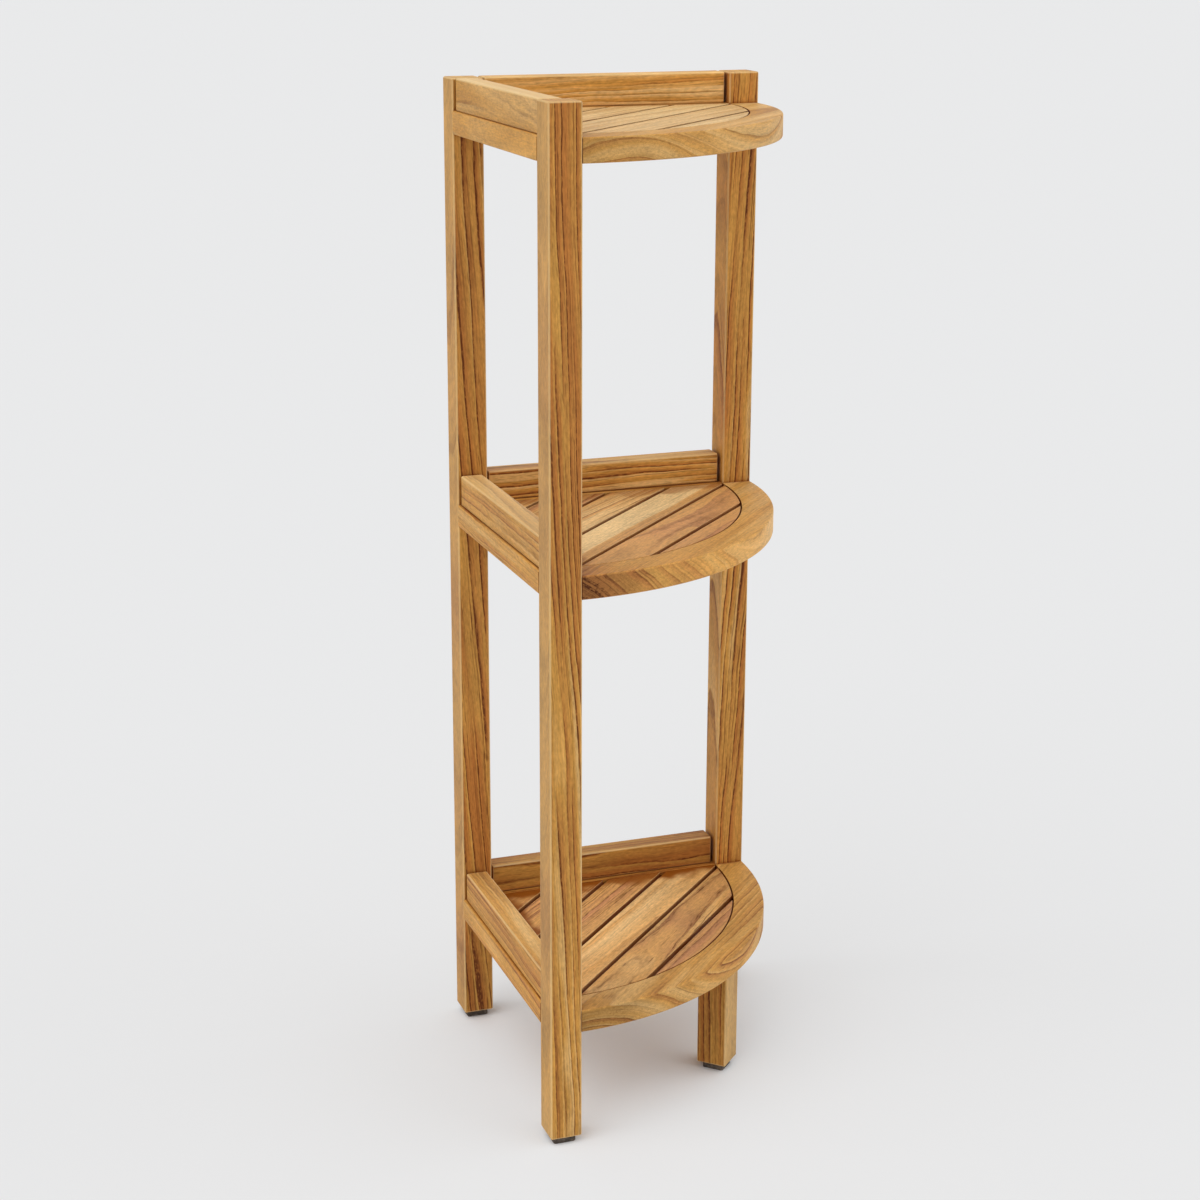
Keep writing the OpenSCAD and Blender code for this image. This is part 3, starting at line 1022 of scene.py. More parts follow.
@dataclass
class Carpentry:
    """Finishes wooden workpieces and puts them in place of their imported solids.

    Attributes:
        finishes: The materials.
        seed: Starts each piece's own random place in its trunk.
        trunk: Half the length of wood that these places come from.
        narrow: Facets narrower than this belong to a rounded edge.
        end_reach: Length of a piece's dark end.
        end_broad: How much more of a ring the dark part takes there.
    """

    finishes: Finishes
    seed: int = 4
    trunk: float = 40.0
    narrow: float = 1.2 * MM
    end_reach: float = 75 * MM
    end_broad: float = 1 / 3

    def lay_grain(self, piece: Workpiece, sawn: Sawn, along: Vector, face: Vector) -> None:
        """Writes where each point of a piece lay in its trunk.

        Args:
            piece: The workpiece.
            sawn: How it was sawn.
            along: Direction of its grain.
            face: Outward direction of its upper or outer face.
        """
        chance = random.Random(f"{self.seed} {piece.obj.name}")
        side = along.cross(face).normalized()
        turn = math.radians(sawn.turn)
        towards = side * math.sin(turn) - face * math.cos(turn)
        beside = along.cross(towards)
        start = chance.uniform(-self.trunk, self.trunk)
        middle = piece.centre()
        mesh = piece.obj.data
        count = len(mesh.vertices)
        rows = {
            "grain": [],
            "tone": [],
            "rings": [],
            "axis": [*along] * count,
            "bark": [*(face * sawn.quiet - towards * sawn.plain)] * count,
            "faces": [sawn.upper_sheen, sawn.ends, sawn.edge_highlight] * count,
            "dirt": [sawn.bearer_dark, sawn.crevice_shade_share, sawn.sap] * count,
        }
        first = min((vertex.co - middle).dot(along) for vertex in mesh.vertices)
        for vertex in mesh.vertices:
            place = vertex.co - middle
            length = place.dot(along)
            dark = sawn.dark_end * max(0.0, 1.0 - (length - first) / self.end_reach)
            depth = sawn.pith - place.dot(towards) + sawn.slope * length
            rows["grain"] += [start + length, place.dot(beside), depth]
            rose = sawn.rose + sawn.shift * length + dark
            rows["tone"] += [sawn.light, rose, sawn.figure + sawn.fan * length + dark]
            rows["rings"] += [1.0 / sawn.ring, sawn.broad + dark * self.end_broad, sawn.side_light]
        for name, values in rows.items():
            mesh.attributes.new(name, "FLOAT_VECTOR", "POINT").data.foreach_set("vector", values)
        edge = mesh.attributes.new("edge", "FLOAT", "POINT")
        edge.data.foreach_set("value", self._edges(mesh))

    def _edges(self, mesh: bpy.types.Mesh) -> list[float]:
        """Finds the corners that lie within a rounded edge.

        Args:
            mesh: The mesh of a piece.

        Returns:
            For each corner, 1 where only narrow facets meet in it and 0 elsewhere.
        """
        marks = [1.0] * len(mesh.vertices)
        for facet in mesh.polygons:
            corners = [mesh.vertices[i].co for i in facet.vertices]
            girth = sum((a - b).length for a, b in zip(corners, corners[1:] + corners[:1]))
            if facet.area > self.narrow / 2 * girth:
                for i in facet.vertices:
                    marks[i] = 0.0
        return marks

    def fit(self, piece: Workpiece, node: str, slot: str) -> None:
        """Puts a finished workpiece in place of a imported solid.

        Args:
            piece: The workpiece.
            node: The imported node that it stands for.
            slot: The record's slot.
        """
        piece.sand()
        self.finishes.dress(piece.obj, slot)
        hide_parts(node)
        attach(piece.obj, "root")
        LOG.info("%s: %d faces", piece.obj.name, len(piece.obj.data.polygons))

    def deliver(self, piece: Workpiece, node: str, slot: str, sawn: Sawn, lie: Lie) -> None:
        """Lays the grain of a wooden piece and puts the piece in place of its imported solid."""
        self.lay_grain(piece, sawn, *lie)
        self.fit(piece, node, slot)


@dataclass
class Posts:
    """The three tall posts, mortised for the three tiers.

    Attributes:
        shelf: The plan.
        shop: Finishes and fits the pieces.
        tiers: Heights of the shelf surfaces.
        frame_h: Height of the bearers.
        nail_r: Radius of a nail's hole.
        nail_l: Its depth.
        corner: How the corner post was sawn.
        front: How the front post was sawn.
        right: How the right post was sawn.
    """

    shelf: Shelf
    shop: Carpentry
    tiers: tuple[float, ...]
    frame_h: float
    nail_r: float = 1.3 * MM
    nail_l: float = 19 * MM
    corner: Sawn = Sawn(
        0.97, 0.50, 1.4, 86.0, 0.10, slope=-0.08, plain=0.85, side_light=0.12, upper_sheen=0.4, ends=0.0, ring=13 * MM
    )
    front: Sawn = Sawn(
        0.96, 0.42, 1.1, 88.0, 0.10, slope=-0.05, plain=0.9, side_light=0.15, shift=0.9, upper_sheen=0.3, ends=0.0,
        fan=0.5,
    )
    right: Sawn = Sawn(1.04, 0.5, 1.3, 88.0, 0.11, slope=0.05, plain=0.6, upper_sheen=0.2, ends=0.0, ring=8 * MM)

    def model(self) -> Workpiece:
        """Models the corner post.

        Returns:
            The post.
        """
        shelf = self.shelf
        half = shelf.post / 2
        tall = shelf.height - shelf.foot
        centre = shelf.point(half, half, (shelf.height + shelf.foot) / 2)
        post = Workpiece.block("post", centre, Vector((shelf.post, shelf.post, tall)))
        post.ease_all(shelf.ease)
        pockets = []
        for z in self.tiers:
            back = shelf.mortise_block(self.frame_h)
            back.obj.data.transform(Matrix.Translation(UP * z))
            pockets += [back, back.copy("side_mortise", shelf.swap)]
        start = shelf.point(half, half, shelf.foot - PAST)
        pockets.append(Workpiece.rod("nail_hole", start, self.nail_r, self.nail_l + PAST))
        return post.combine(pockets, Join.CUT)

    def build(self) -> None:
        """Models the corner post, mirrors it to the other two places and finishes all three."""
        model = self.model()
        middle = self.shelf.point(self.shelf.width / 2, self.shelf.width / 2)
        across = Matrix.Translation((2 * middle.x, 0, 0)) @ Matrix.Diagonal((-1, 1, 1, 1))
        down = Matrix.Translation((0, 2 * middle.y, 0)) @ Matrix.Diagonal((1, -1, 1, 1))
        lie = (UP, Vector((0, -1, 0)))
        for name, move, sawn in (
            ("corner_post", Matrix.Identity(4), self.corner),
            ("front_post", down, self.front),
            ("right_post", across, self.right),
        ):
            self.shop.deliver(model.copy(f"{name}_teak", move), name, "post_teak", sawn, lie)
        model.discard()


@dataclass
class Feet:
    """The short leg under the curved rim, and the four foot pads.

    Attributes:
        shelf: The plan.
        shop: Finishes and fits the pieces.
        sawn: How the leg was sawn.
        upright_r: Radius of the pads' upright corners.
        rim_r: Radius of a pad's lower rim.
        rim_steps: Facets across that rim.
        dowel_r: Radius of the leg's dowels.
        dowel_pitch: Distance between them.
    """

    shelf: Shelf
    shop: Carpentry
    sawn: Sawn = Sawn(0.90, 0.45, 1.0, 0.0, 0.07, plain=0.9, side_light=0.4)
    upright_r: float = 3 * MM
    rim_r: float = 0.6 * MM
    rim_steps: int = 2
    dowel_r: float = 5 * MM
    dowel_pitch: float = 16 * MM

    def dowel_holes(self) -> list[Workpiece]:
        """Holes for the two dowels between the short leg and the bottom rim.

        Returns:
            The holes, in place.
        """
        shelf = self.shelf
        low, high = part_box("leg_dowels")
        start = (low + high) / 2
        start.z = low.z - shelf.end_fit / 2
        deep = high.z - low.z + shelf.end_fit
        places = [start + shelf.chord * (side * self.dowel_pitch / 2) for side in (-1, 1)]
        return [Workpiece.rod("dowel_hole", place, self.dowel_r + shelf.pin_fit, deep) for place in places]

    def leg(self) -> None:
        """Models the short leg, turned to face the rim's middle."""
        shelf = self.shelf
        low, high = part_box("short_leg")
        size = Vector((shelf.post, shelf.post, high.z - low.z))
        leg = Workpiece.block("short_leg_teak", (low + high) / 2, size, DIAGONAL)
        leg.pick(Kind.EDGES, lambda place, way: place.z < high.z - NEAR).ease(shelf.ease)
        leg.combine(self.dowel_holes(), Join.CUT)
        self.shop.deliver(leg, "short_leg", "post_teak", self.sawn, (UP, shelf.diagonal))

    def pads(self) -> None:
        """Models one pad and copies it under every post and the leg."""
        low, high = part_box("corner_foot")
        size = high - low
        model = Workpiece.block("pad", Vector(), size)
        model.pick(Kind.EDGES, lambda place, way: abs(way.z) > UPRIGHT).ease(self.upright_r)
        lower = model.pick(Kind.EDGES, lambda place, way: place.z < NEAR - size.z / 2)
        lower.ease(self.rim_r, self.rim_steps)
        turns = {"corner_foot": 0.0, "front_foot": 0.0, "right_foot": 0.0, "leg_foot": DIAGONAL}
        for node, heading in turns.items():
            low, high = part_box(node)
            move = Matrix.Translation((low + high) / 2) @ Matrix.Rotation(heading, 4, "Z")
            self.shop.fit(model.copy(f"{node}_pad", move), node, "pad_rubber")
        model.discard()

    def build(self) -> None:
        """Builds the leg and the pads."""
        self.leg()
        self.pads()


@dataclass
class Tier:
    """One shelf: two bearers, two galleries, the curved rim, six slats and their batten.

    Attributes:
        name: top, middle or bottom.
        shelf: The plan.
        shop: Finishes and fits the pieces.
        bearers: How the side and the back bearer were sawn.
        galleries: How the side and the back gallery were sawn.
        rim: How the rim was sawn.
        slats: How the slats were sawn, from the corner outwards.
        holes: Makes what is bored into the rim from below, if anything.
        batten: How the batten was sawn.
        outer_w: Depth of the outermost slat at its middle.
        gap: Gap between neighbouring slats.
        rim_seam: Seam between the slats and the rim.
        bearer_seam: Seam between the slats and the bearers.
        side_ease: Radius of the slats' long edges.
        side_steps: Facets across them.
        end_ease: Width of the broken edges at the slat ends.
        tongue_in: How far a tongue's long sides are drawn in from its slat's.
        batten_w: Width of the batten.
        screw_inset: Distance from a gallery's end to its outermost screw.
        screw_edge: Least distance from a screw to a slat's edge.
        gallery_screw_r: Radius of the gallery screws.
        gallery_screw_bite: Their depth in the gallery.
        counterbore: Depth of the recess for their heads.
        batten_screw_r: Radius of the batten screws.
        batten_screw_bite: Their depth in the slats.
        batten_recess: Depth of the recess for their heads.
        z: Height of the shelf surface.
        frame_h: Height of the bearers and the rim.
        slat_t: Thickness of the slats.
    """

    name: str
    shelf: Shelf
    shop: Carpentry
    bearers: tuple[Sawn, Sawn]
    galleries: tuple[Sawn, Sawn]
    rim: Sawn
    slats: tuple[Sawn, ...]
    holes: Callable[[], list[Workpiece]] = list
    batten: Sawn = Sawn(0.8, 0.4, 0.8, 20.0)
    outer_w: float = 23 * MM
    gap: float = 5.5 * MM
    rim_seam: float = 1.8 * MM
    bearer_seam: float = 0.4 * MM
    side_ease: float = 1 * MM
    side_steps: int = 3
    end_ease: float = 0.5 * MM
    tongue_in: float = 0.1 * MM
    batten_w: float = 30 * MM
    screw_inset: float = 40 * MM
    screw_edge: float = 8 * MM
    gallery_screw_r: float = 2 * MM
    gallery_screw_bite: float = 19 * MM
    counterbore: float = 8 * MM
    batten_screw_r: float = 1.75 * MM
    batten_screw_bite: float = 8 * MM
    batten_recess: float = 3.1 * MM
    z: float = field(init=False)
    frame_h: float = field(init=False)
    slat_t: float = field(init=False)

    def __post_init__(self) -> None:
        """Reads the tier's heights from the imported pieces."""
        low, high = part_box(f"{self.name}_rim")
        self.z = high.z
        self.frame_h = high.z - low.z
        low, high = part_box(f"{self.name}_slat_3")
        self.slat_t = high.z - low.z

    @property
    def slat_w(self) -> float:
        """Width of the slats, all but the outermost."""
        count = len(self.slats) - 1
        return (self.shelf.inner - self.rim_seam - self.outer_w - count * self.gap) / count

    def section(self, heading: float, origin: Vector) -> Workpiece:
        """Section of a bearer or the rim: eased corners and the groove for the slats.

        Args:
            heading: Direction from the inner to the outer face, in radians.
            origin: Upper inner corner of the section.

        Returns:
            The flat section.
        """
        shelf = self.shelf
        out = Vector((math.cos(heading), math.sin(heading), 0.0))
        centre = origin + out * (shelf.post / 2) - UP * (self.frame_h / 2)
        sheet = Workpiece.sheet("frame_stock", centre, shelf.post, self.frame_h, heading)

        def eased(place: Vector, way: Vector) -> bool:
            """Whether a corner is eased: all but the upper inner one."""
            return (place - centre).dot(out) > 0 or place.z < centre.z

        sheet.pick(Kind.CORNERS, eased).ease(shelf.ease, kind=Kind.CORNERS)
        middle = origin.z - self.slat_t / 2
        half = shelf.tongue / 2 + shelf.slack
        deep = origin + out * (shelf.reach + shelf.slack)
        for z in (middle - half, middle + half):
            sheet.pick(Kind.FACES, everything).score(Vector((0, 0, z)), UP)
        sheet.pick(Kind.FACES, lambda place, way: abs(place.z - middle) < half).score(deep, out)

        def mouth(place: Vector, way: Vector) -> bool:
            """Whether a face is where the groove goes."""
            return abs(place.z - middle) < half and (place - deep).dot(out) < 0

        return sheet.pick(Kind.FACES, mouth).drop_faces()

    def bearer_model(self) -> Workpiece:
        """Models the back bearer, tenoned at both ends and bored for the gallery's screws.

        Returns:
            The bearer, its top at z = 0.
        """
        shelf = self.shelf
        bar = self.section(math.pi / 2, shelf.hub)
        bar.pick(Kind.FACES, everything).push(Vector((shelf.inner, 0, 0))).settle()
        left = shelf.tenon_block(self.frame_h)
        flip = Matrix.Translation((2 * shelf.point(shelf.width / 2, 0).x, 0, 0))
        right = left.copy("right_tenon", flip @ Matrix.Diagonal((-1, 1, 1, 1)))
        bar.combine((left, right), Join.ADD)
        radius = self.gallery_screw_r + shelf.pin_fit
        feet = [place - UP * (self.frame_h + PAST) for place in self.gallery_screw_places()]
        return bar.combine(self.bores(feet, radius, self.frame_h, self.counterbore), Join.CUT)

    @staticmethod
    def bores(feet: list[Vector], radius: float, deep: float, recess: float) -> list[Workpiece]:
        """Bores right through a piece from below, each with a recess for a screw's head.

        Args:
            feet: Where they start, below the piece.
            radius: Their radius.
            deep: Height of the piece.
            recess: Depth of the recesses, which are twice as wide.

        Returns:
            The bores and recesses.
        """
        shapes = ((radius, deep + 2 * PAST), (2 * radius, recess + PAST))
        return [Workpiece.rod("bore", foot, *shape) for foot in feet for shape in shapes]

    def rim_model(self) -> Workpiece:
        """Models the curved rim: a quarter ring from post to post, tenoned at both ends.

        Returns:
            The rim, its top at z = 0.
        """
        shelf = self.shelf
        start = shelf.hub + Vector((shelf.inner, 0, 0))
        ring = self.section(0.0, start).spin(shelf.hub, math.pi / 2, ARC_STEPS).settle()
        tenon = shelf.tenon_block(self.frame_h)
        turn = Matrix.Translation(shelf.point(shelf.width, 0)) @ Matrix.Rotation(-math.pi / 2, 4, "Z")
        right = tenon.copy("right_tenon", turn @ Matrix.Translation(-shelf.corner))
        tenon.discard()
        return ring.combine((right, right.copy("front_tenon", shelf.swap)), Join.ADD)

    def field_prism(
        self, index: int, seams: tuple[float, float], levels: tuple[float, float], side: float
    ) -> Workpiece:
        """A slat's share of the field inside the frame, as a prism.

        Args:
            index: Number of the slat from the corner.
            seams: Distances in from the bearers and from the rim, negative to reach into them.
            levels: Its top and bottom.
            side: How far its long sides are drawn in.

        Returns:
            The prism.
        """
        shelf = self.shelf
        top, bottom = levels
        hub = shelf.hub + UP * top
        disc = Workpiece.disc("slat", hub, shelf.inner - seams[1], 4 * ARC_STEPS)
        disc.saw(hub + Vector((seams[0], 0, 0)), Vector((-1, 0, 0)))
        disc.saw(hub - Vector((0, seams[0], 0)), Vector((0, 1, 0)))
        start = index * (self.slat_w + self.gap)
        out = shelf.diagonal
        if index or seams[0] > 0:
            disc.saw(hub + out * (start + side), -out)
        if index < len(self.slats) - 1:
            disc.saw(hub + out * (start + self.slat_w - side), out)
        disc.pick(Kind.FACES, everything).push(UP * (bottom - top))
        return disc.settle()

    def slat_model(self, index: int) -> Workpiece:
        """Models a slat: the board with its eased edges, and the tongue round its ends.

        Args:
            index: Number of the slat from the corner.

        Returns:
            The slat.
        """
        shelf = self.shelf
        bottom = self.z - self.slat_t
        board = self.field_prism(index, (self.bearer_seam, self.rim_seam), (self.z, bottom), 0.0)
        top = self.z - SKIM

        def on_side(place: Vector, way: Vector) -> bool:
            """Whether an edge is on a long side of the slat."""
            return abs(way.dot(shelf.chord)) > PARALLEL and self._on_strip_side(place, index)

        ends = board.pick(Kind.EDGES, lambda place, way: place.z > top and not on_side(place, way))
        ends.ease(self.end_ease, steps=1)
        sides = board.pick(Kind.EDGES, lambda place, way: place.z > top and on_side(place, way))
        sides.ease(self.side_ease, self.side_steps)
        middle = self.z - self.slat_t / 2
        levels = (middle + shelf.tongue / 2, middle - shelf.tongue / 2)
        tongue = self.field_prism(index, (-shelf.reach, -shelf.reach), levels, self.tongue_in)
        size = Vector((shelf.post + 2 * shelf.fit, shelf.post + 2 * shelf.fit, 2 * self.slat_t))
        near, far = shelf.post / 2, shelf.width - shelf.post / 2
        posts = [
            Workpiece.block("post_notch", shelf.point(back, side, middle), size)
            for back, side in ((near, far), (far, near))
        ]
        board.combine((tongue.combine(posts, Join.CUT),), Join.ADD)
        foot = self.batten_screw_place(index) + UP * (bottom - PAST)
        radius, depth = self.batten_screw_r + shelf.pin_fit, self.batten_screw_bite + shelf.end_fit
        return board.combine((Workpiece.rod("screw_hole", foot, radius, depth + PAST),), Join.CUT)

    def batten_screw_place(self, index: int) -> Vector:
        """Where a slat's screw stands on the diagonal.

        Args:
            index: Number of the slat from the corner.

        Returns:
            The place, at z = 0.
        """
        outermost = self.shelf.inner - self.rim_seam - self.outer_w / 2
        middle = index * (self.slat_w + self.gap) + self.slat_w / 2
        first = self.batten_w / 2 + 2 * self.rim_seam + self.screw_edge
        out = outermost if index == len(self.slats) - 1 else max(middle, first)
        return self.shelf.hub + self.shelf.diagonal * out

    def gallery_screw_places(self) -> list[Vector]:
        """Where the back gallery's screws stand.

        Returns:
            The places, at z = 0.
        """
        low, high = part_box(f"{self.name}_back_gallery")
        side = (low.y + high.y) / 2
        first, last = low.x + self.screw_inset, high.x - self.screw_inset
        return [Vector((x, side, 0.0)) for x in (first, (first + last) / 2, last)]

    def _on_strip_side(self, place: Vector, index: int) -> bool:
        """Whether a point lies on a long side of a slat's strip.

        Args:
            place: The point.
            index: Number of the slat from the corner.

        Returns:
            True on either long side.
        """
        start = index * (self.slat_w + self.gap)
        across = (place - self.shelf.hub).dot(self.shelf.diagonal)
        return min(abs(across - start), abs(across - start - self.slat_w)) < 2 * SKIM

    def gallery_model(self) -> Workpiece:
        """Models the back gallery board, eased all round.

        Returns:
            The board, its bottom at z = 0.
        """
        low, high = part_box(f"{self.name}_back_gallery")
        board = Workpiece.block("gallery", (low + high) / 2 - UP * self.z, high - low)
        board.ease_all(self.shelf.ease)
        radius = self.gallery_screw_r + self.shelf.pin_fit
        deep = self.gallery_screw_bite + self.shelf.end_fit + PAST
        places = self.gallery_screw_places()
        bores = [Workpiece.rod("bore", place - UP * PAST, radius, deep) for place in places]
        return board.combine(bores, Join.CUT)

    def batten_model(self) -> Workpiece:
        """Models the batten under the slats.

        Returns:
            The batten.
        """
        shelf = self.shelf
        low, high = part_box(f"{self.name}_batten")
        size = Vector((shelf.turned(high.x - low.x, self.batten_w), self.batten_w, high.z - low.z))
        bar = Workpiece.block("batten", (low + high) / 2, size, DIAGONAL)
        bar.ease_all(shelf.ease)
        under = UP * (low.z - PAST)
        feet = [self.batten_screw_place(index) + under for index in range(len(self.slats))]
        radius = self.batten_screw_r + shelf.pin_fit
        return bar.combine(self.bores(feet, radius, size.z, self.batten_recess), Join.CUT)

    def deliver(self, piece: Workpiece, kind: str, slot: str, sawn: Sawn, lie: Lie) -> None:
        """Names one of the tier's pieces by its kind, and delivers it."""
        node = f"{self.name}_{kind}"
        self.shop.deliver(piece.named(f"{node}_teak"), node, slot, sawn, lie)

    def build(self) -> None:
        """Builds, finishes and fits the whole tier."""
        shelf = self.shelf
        lift = Matrix.Translation(UP * self.z)
        out_back, out_side = Vector((0, 1, 0)), Vector((-1, 0, 0))
        for model, kind, sawn in (
            (self.bearer_model(), "bearer", self.bearers),
            (self.gallery_model(), "gallery", self.galleries),
        ):
            side = model.copy("side", lift @ shelf.swap)
            back = model.copy("back", lift)
            self.deliver(side, f"side_{kind}", f"{kind}_teak", sawn[0], (out_back, out_side))
            self.deliver(back, f"back_{kind}", f"{kind}_teak", sawn[1], (-out_side, out_back))
            model.discard()
        rim = self.rim_model()
        rim.obj.data.transform(lift)
        rim.combine(self.holes(), Join.CUT)
        self.deliver(rim, "rim", "rim_teak", self.rim, (shelf.chord, UP))
        names = ["corner_slat", *(f"slat_{i}" for i in range(2, len(self.slats))), "outer_slat"]
        for index, (name, sawn) in enumerate(zip(names, self.slats)):
            self.deliver(self.slat_model(index), name, "slat_teak", sawn, (shelf.chord, UP))
        self.deliver(self.batten_model(), "batten", "batten_teak", self.batten, (shelf.diagonal, UP))


@dataclass(frozen=True)
class Lamp:
    """A distant soft light.

    Attributes:
        name: Its name.
        irradiance: Its strength.
        towards: Direction from the shelf to it.
        spread: Its apparent size in degrees.
    """

    name: str
    irradiance: float
    towards: tuple[float, float, float]
    spread: float

    def hang(self) -> None:
        """Hangs the lamp."""
        data = bpy.data.lights.new(self.name, "SUN")
        data.energy = self.irradiance
        data.angle = math.radians(self.spread)
        lamp = bpy.data.objects.new(self.name, data)
        lamp.rotation_mode = "QUATERNION"
        lamp.rotation_quaternion = Vector(self.towards).normalized().to_track_quat("Z", "Y")
        bpy.context.scene.collection.objects.link(lamp)


@dataclass(frozen=True)
class Studio:
    """Pale floor, soft light and the camera.

    Attributes:
        floor: Colour of the floor and the background.
        extent: Width, depth and thickness of the floor.
        paper: Share of a plain glow that only the camera sees, painted light, in what it sees of the
            open floor, which softens the wide shadows there.
        shelter: Height under which something over the floor takes that share away.
        opening: Openness where nothing of it is left, and where all of it is.
        rays: Rays that look for that something.
        pale: Brightness of that painted glow.
        room: Brightness of the room behind it, as the camera sees the far floor.
        sky: Strength of the light from all round.
        lamps: The large light from the left, the one from above and the low one from the right.
        camera: Place of the camera.
        heading: Its turn from +Y towards +X, in degrees.
        pitch: Its tilt below the horizon, in degrees.
        roll: Its roll, in degrees.
        lens: Its focal length in millimetres.
        sensor: Its sensor's width in millimetres.
        far: Distance past which it sees nothing.
    """

    floor: Colour = (0.80, 0.81, 0.825)
    extent: tuple[float, float, float] = (120.0, 120.0, 0.02)
    paper: float = 0.65
    shelter: float = 0.35
    opening: tuple[float, float] = (0.15, 0.90)
    rays: int = 16
    pale: float = 0.79
    room: float = 0.815
    sky: float = 0.424
    lamps: tuple[Lamp, ...] = (
        Lamp("key", 1.4, (-0.85, -0.32, 0.95), 60.0),
        Lamp("top", 0.65, (0.10, -0.15, 1.0), 100.0),
        Lamp("fill", 1.1, (1.0, -0.48, 0.42), 70.0),
    )
    camera: tuple[float, float, float] = (-0.8969, -2.3162, 1.2804)
    heading: float = 19.871
    pitch: float = 16.502
    roll: float = 0.186
    lens: float = 70.737
    sensor: float = 36.0
    far: float = 300.0

    def build(self) -> None:
        """Sets the stage."""
        self.lay_floor()
        for lamp in self.lamps:
            lamp.hang()
        self.paint_room()
        self.aim()

    def lay_floor(self) -> None:
        """Lays the floor, wide enough to fill the view."""
        floor = Workpiece.block("floor", UP * (-self.extent[2] / 2), Vector(self.extent))
        tree = Tree(bpy.data.materials.new("floor_paper"))
        lit = tree.add("BsdfDiffuse", inputs={"Color": (*self.floor, 1.0)})
        # Painted light: a glow that only the camera sees covers the floor's shadows, less where something
        # stands close over the floor
        plain = tree.add("Emission", inputs={"Strength": self.pale})
        open_sky = tree.add("AmbientOcclusion", {"samples": self.rays}, {"Distance": self.shelter})
        share = tree.wire(tree.add("LightPath"), "Is Camera Ray") * self.paper
        share = share * tree.ramp(tree.wire(open_sky, "AO"), *self.opening)
        both = tree.add("MixShader", inputs={0: share, 1: tree.wire(lit), 2: tree.wire(plain)})
        tree.add("OutputMaterial", inputs={"Surface": tree.wire(both)})
        floor.obj.data.materials.append(tree.owner)

    def paint_room(self) -> None:
        """Paints the room, brighter for what the camera sees of it than for the light it sheds."""
        world = bpy.data.worlds.new("room")
        bpy.context.scene.world = world
        tree = Tree(world)
        path = tree.add("LightPath")
        seen = tree.wire(path, "Is Camera Ray")
        for ray in ("Is Glossy Ray", "Is Transmission Ray"):
            seen = tree.maths("MAXIMUM", seen, tree.wire(path, ray))
        strength = tree.add("MapRange", inputs={"Value": seen, "To Min": self.sky, "To Max": self.room})
        white = (1.0, 1.0, 1.0, 1.0)
        back = tree.add("Background", inputs={"Color": white, "Strength": tree.wire(strength)})
        tree.add("OutputWorld", inputs={"Surface": tree.wire(back)})

    def aim(self) -> None:
        """Sets up the camera at the picture's point of view."""
        data = bpy.data.cameras.new("camera")
        data.lens = self.lens
        data.sensor_width = self.sensor
        data.clip_end = self.far
        camera = bpy.data.objects.new("camera", data)
        bpy.context.scene.collection.objects.link(camera)
        turn = Matrix.Rotation(-math.radians(self.heading), 4, "Z")
        tilt = Matrix.Rotation(math.radians(90.0 - self.pitch), 4, "X")
        roll = Matrix.Rotation(math.radians(self.roll), 4, "Z")
        camera.matrix_world = Matrix.Translation(self.camera) @ turn @ tilt @ roll
        bpy.context.scene.camera = camera
        bpy.context.scene.view_settings.view_transform = "Standard"


def dress_fasteners(finishes: Finishes) -> None:
    """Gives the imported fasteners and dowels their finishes.

    Args:
        finishes: The materials.
    """
    slots = {
        "foot_nails": "fastener_steel",
        "gallery_screws": "fastener_steel",
        "batten_screws": "fastener_steel",
        "leg_dowels": "dowel_beech",
    }
    for node, slot in slots.items():
        finishes.dress(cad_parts[node], slot)
        LOG.info("%s: finished as packed", node)


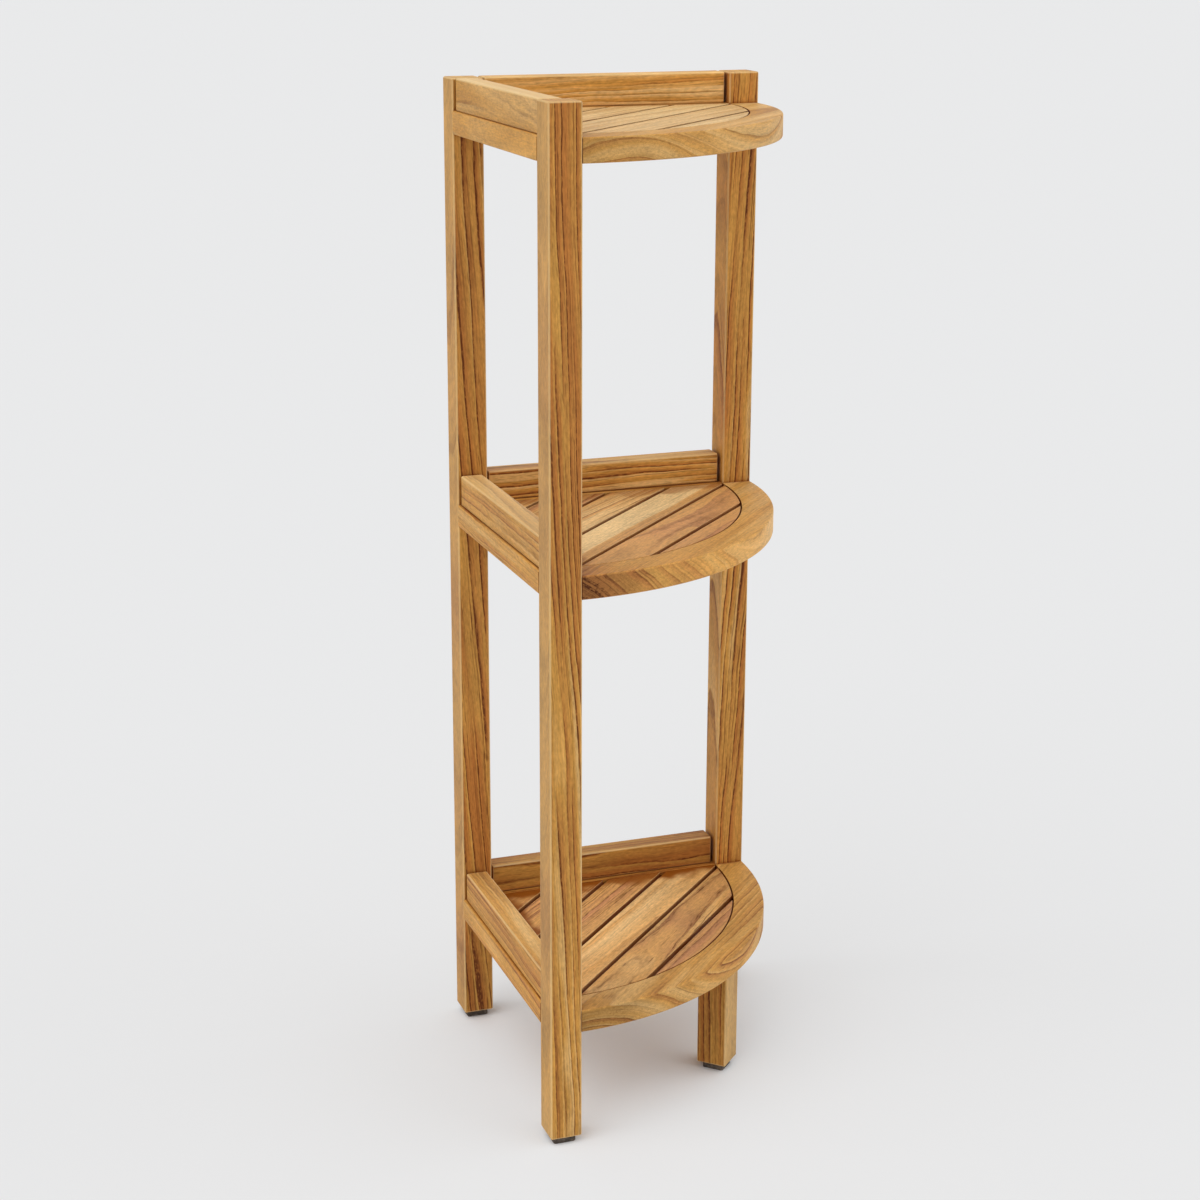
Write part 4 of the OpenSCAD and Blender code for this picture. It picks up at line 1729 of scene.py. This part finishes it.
def tiers(shelf: Shelf, shop: Carpentry, feet: Feet) -> list[Tier]:
    """The three tiers, each with its own boards.

    Args:
        shelf: The plan.
        shop: Finishes and fits the pieces.
        feet: The leg that the bottom rim stands on.

    Returns:
        The tiers from the top down.
    """
    top = Tier(
        "top",
        shelf,
        shop,
        (Sawn(1.05, 0.2, 0.35, 5.0, 0.05, crevice_shade_share=0.4), Sawn(1.0, 0.1, 0.8, 60.0, crevice_shade_share=0.35)),
        (
            Sawn(0.95, -0.02, 0.35, 20.0, upper_sheen=0.6, crevice_shade_share=0.4),
            Sawn(1.13, -0.15, 0.6, 70.0, ring=6 * MM, crevice_shade_share=0.3),
        ),
        Sawn(0.97, -0.05, 0.6, 40.0, 0.07, shift=-0.8, ends=0.25, edge_highlight=0.0, quiet=0.4),
        (
            # The top tier's slats have pale tones: partly the boards' own colour, partly painted sheen of
            # the grazing light on them
            Sawn(0.88, -0.2, 0.5, 40.0),
            Sawn(0.90, -0.3, 0.5, 30.0),
            Sawn(0.90, -0.4, 0.45, 60.0),
            Sawn(0.91, -0.6, 0.4, 20.0),
            Sawn(0.91, -0.4, 0.3, 60.0),
            Sawn(0.91, -0.5, 0.3, 40.0),
        ),
    )
    middle_rim = {"shift": -1.2, "ends": 0.55, "edge_highlight": 0.0, "ring": 5.5 * MM, "broad": 0.25}
    middle = Tier(
        "middle",
        shelf,
        shop,
        (Sawn(1.02, 0.2, 0.7, 70.0), Sawn(1.0, 0.3, 0.8, 60.0)),
        (Sawn(0.97, 0.1, 0.7, 60.0, upper_sheen=0.35), Sawn(1.05, 0.2, 1.3, 75.0, upper_sheen=0.2)),
        Sawn(1.10, 0.0, 0.5, -40.0, 0.06, quiet=0.7, dark_end=1.7, **middle_rim),
        (
            Sawn(0.96, -0.1, 0.9, 40.0, bearer_dark=0.5),
            Sawn(0.95, 0.1, 1.2, 30.0, bearer_dark=0.5),
            Sawn(0.98, -0.2, 1.0, 50.0, bearer_dark=0.4),
            Sawn(0.99, 0.1, 0.4, 80.0, 0.09, 0.100, slope=0.0, bearer_dark=0.6),
            Sawn(1.10, 0.3, 0.5, 20.0, bearer_dark=0.7),
            Sawn(1.07, 0.5, 0.5, 50.0),
        ),
    )
    bottom = Tier(
        "bottom",
        shelf,
        shop,
        (Sawn(1.1, 0.2, 0.7, 60.0), Sawn(1.0, 0.3, 0.8, 60.0)),
        (Sawn(1.0, 0.3, 0.7, 60.0, upper_sheen=0.1), Sawn(0.88, 0.62, 1.3, 15.0, upper_sheen=0.1)),
        Sawn(0.96, 0.15, 0.9, 25.0, 0.05, ends=0.5, edge_highlight=0.0, quiet=0.3),
        (
            Sawn(1.0, 0.3, 0.9, 40.0, bearer_dark=1.0),
            Sawn(1.10, 0.4, 0.9, 30.0, bearer_dark=1.0),
            Sawn(1.08, 0.4, 1.2, 35.0, bearer_dark=0.9),
            Sawn(1.09, -0.2, 0.35, 15.0, 0.06, bearer_dark=1.0),
            Sawn(0.96, 0.3, 1.4, 25.0, 0.05, bearer_dark=0.8),
            Sawn(0.97, 0.6, 1.0, 50.0),
        ),
        feet.dowel_holes,
    )
    return [top, middle, bottom]


def main() -> None:
    """Builds the shelf piece by piece, then the studio round it."""
    logging.basicConfig(level=logging.INFO, format="%(name)s: %(message)s")
    shelf = Shelf()
    finishes = Finishes(shelf)
    shop = Carpentry(finishes)
    feet = Feet(shelf, shop)
    levels = tiers(shelf, shop, feet)
    Posts(shelf, shop, tuple(tier.z for tier in levels), levels[0].frame_h).build()
    feet.build()
    for tier in levels:
        tier.build()
    dress_fasteners(finishes)
    Studio().build()


if __name__ == "__main__":
    main()
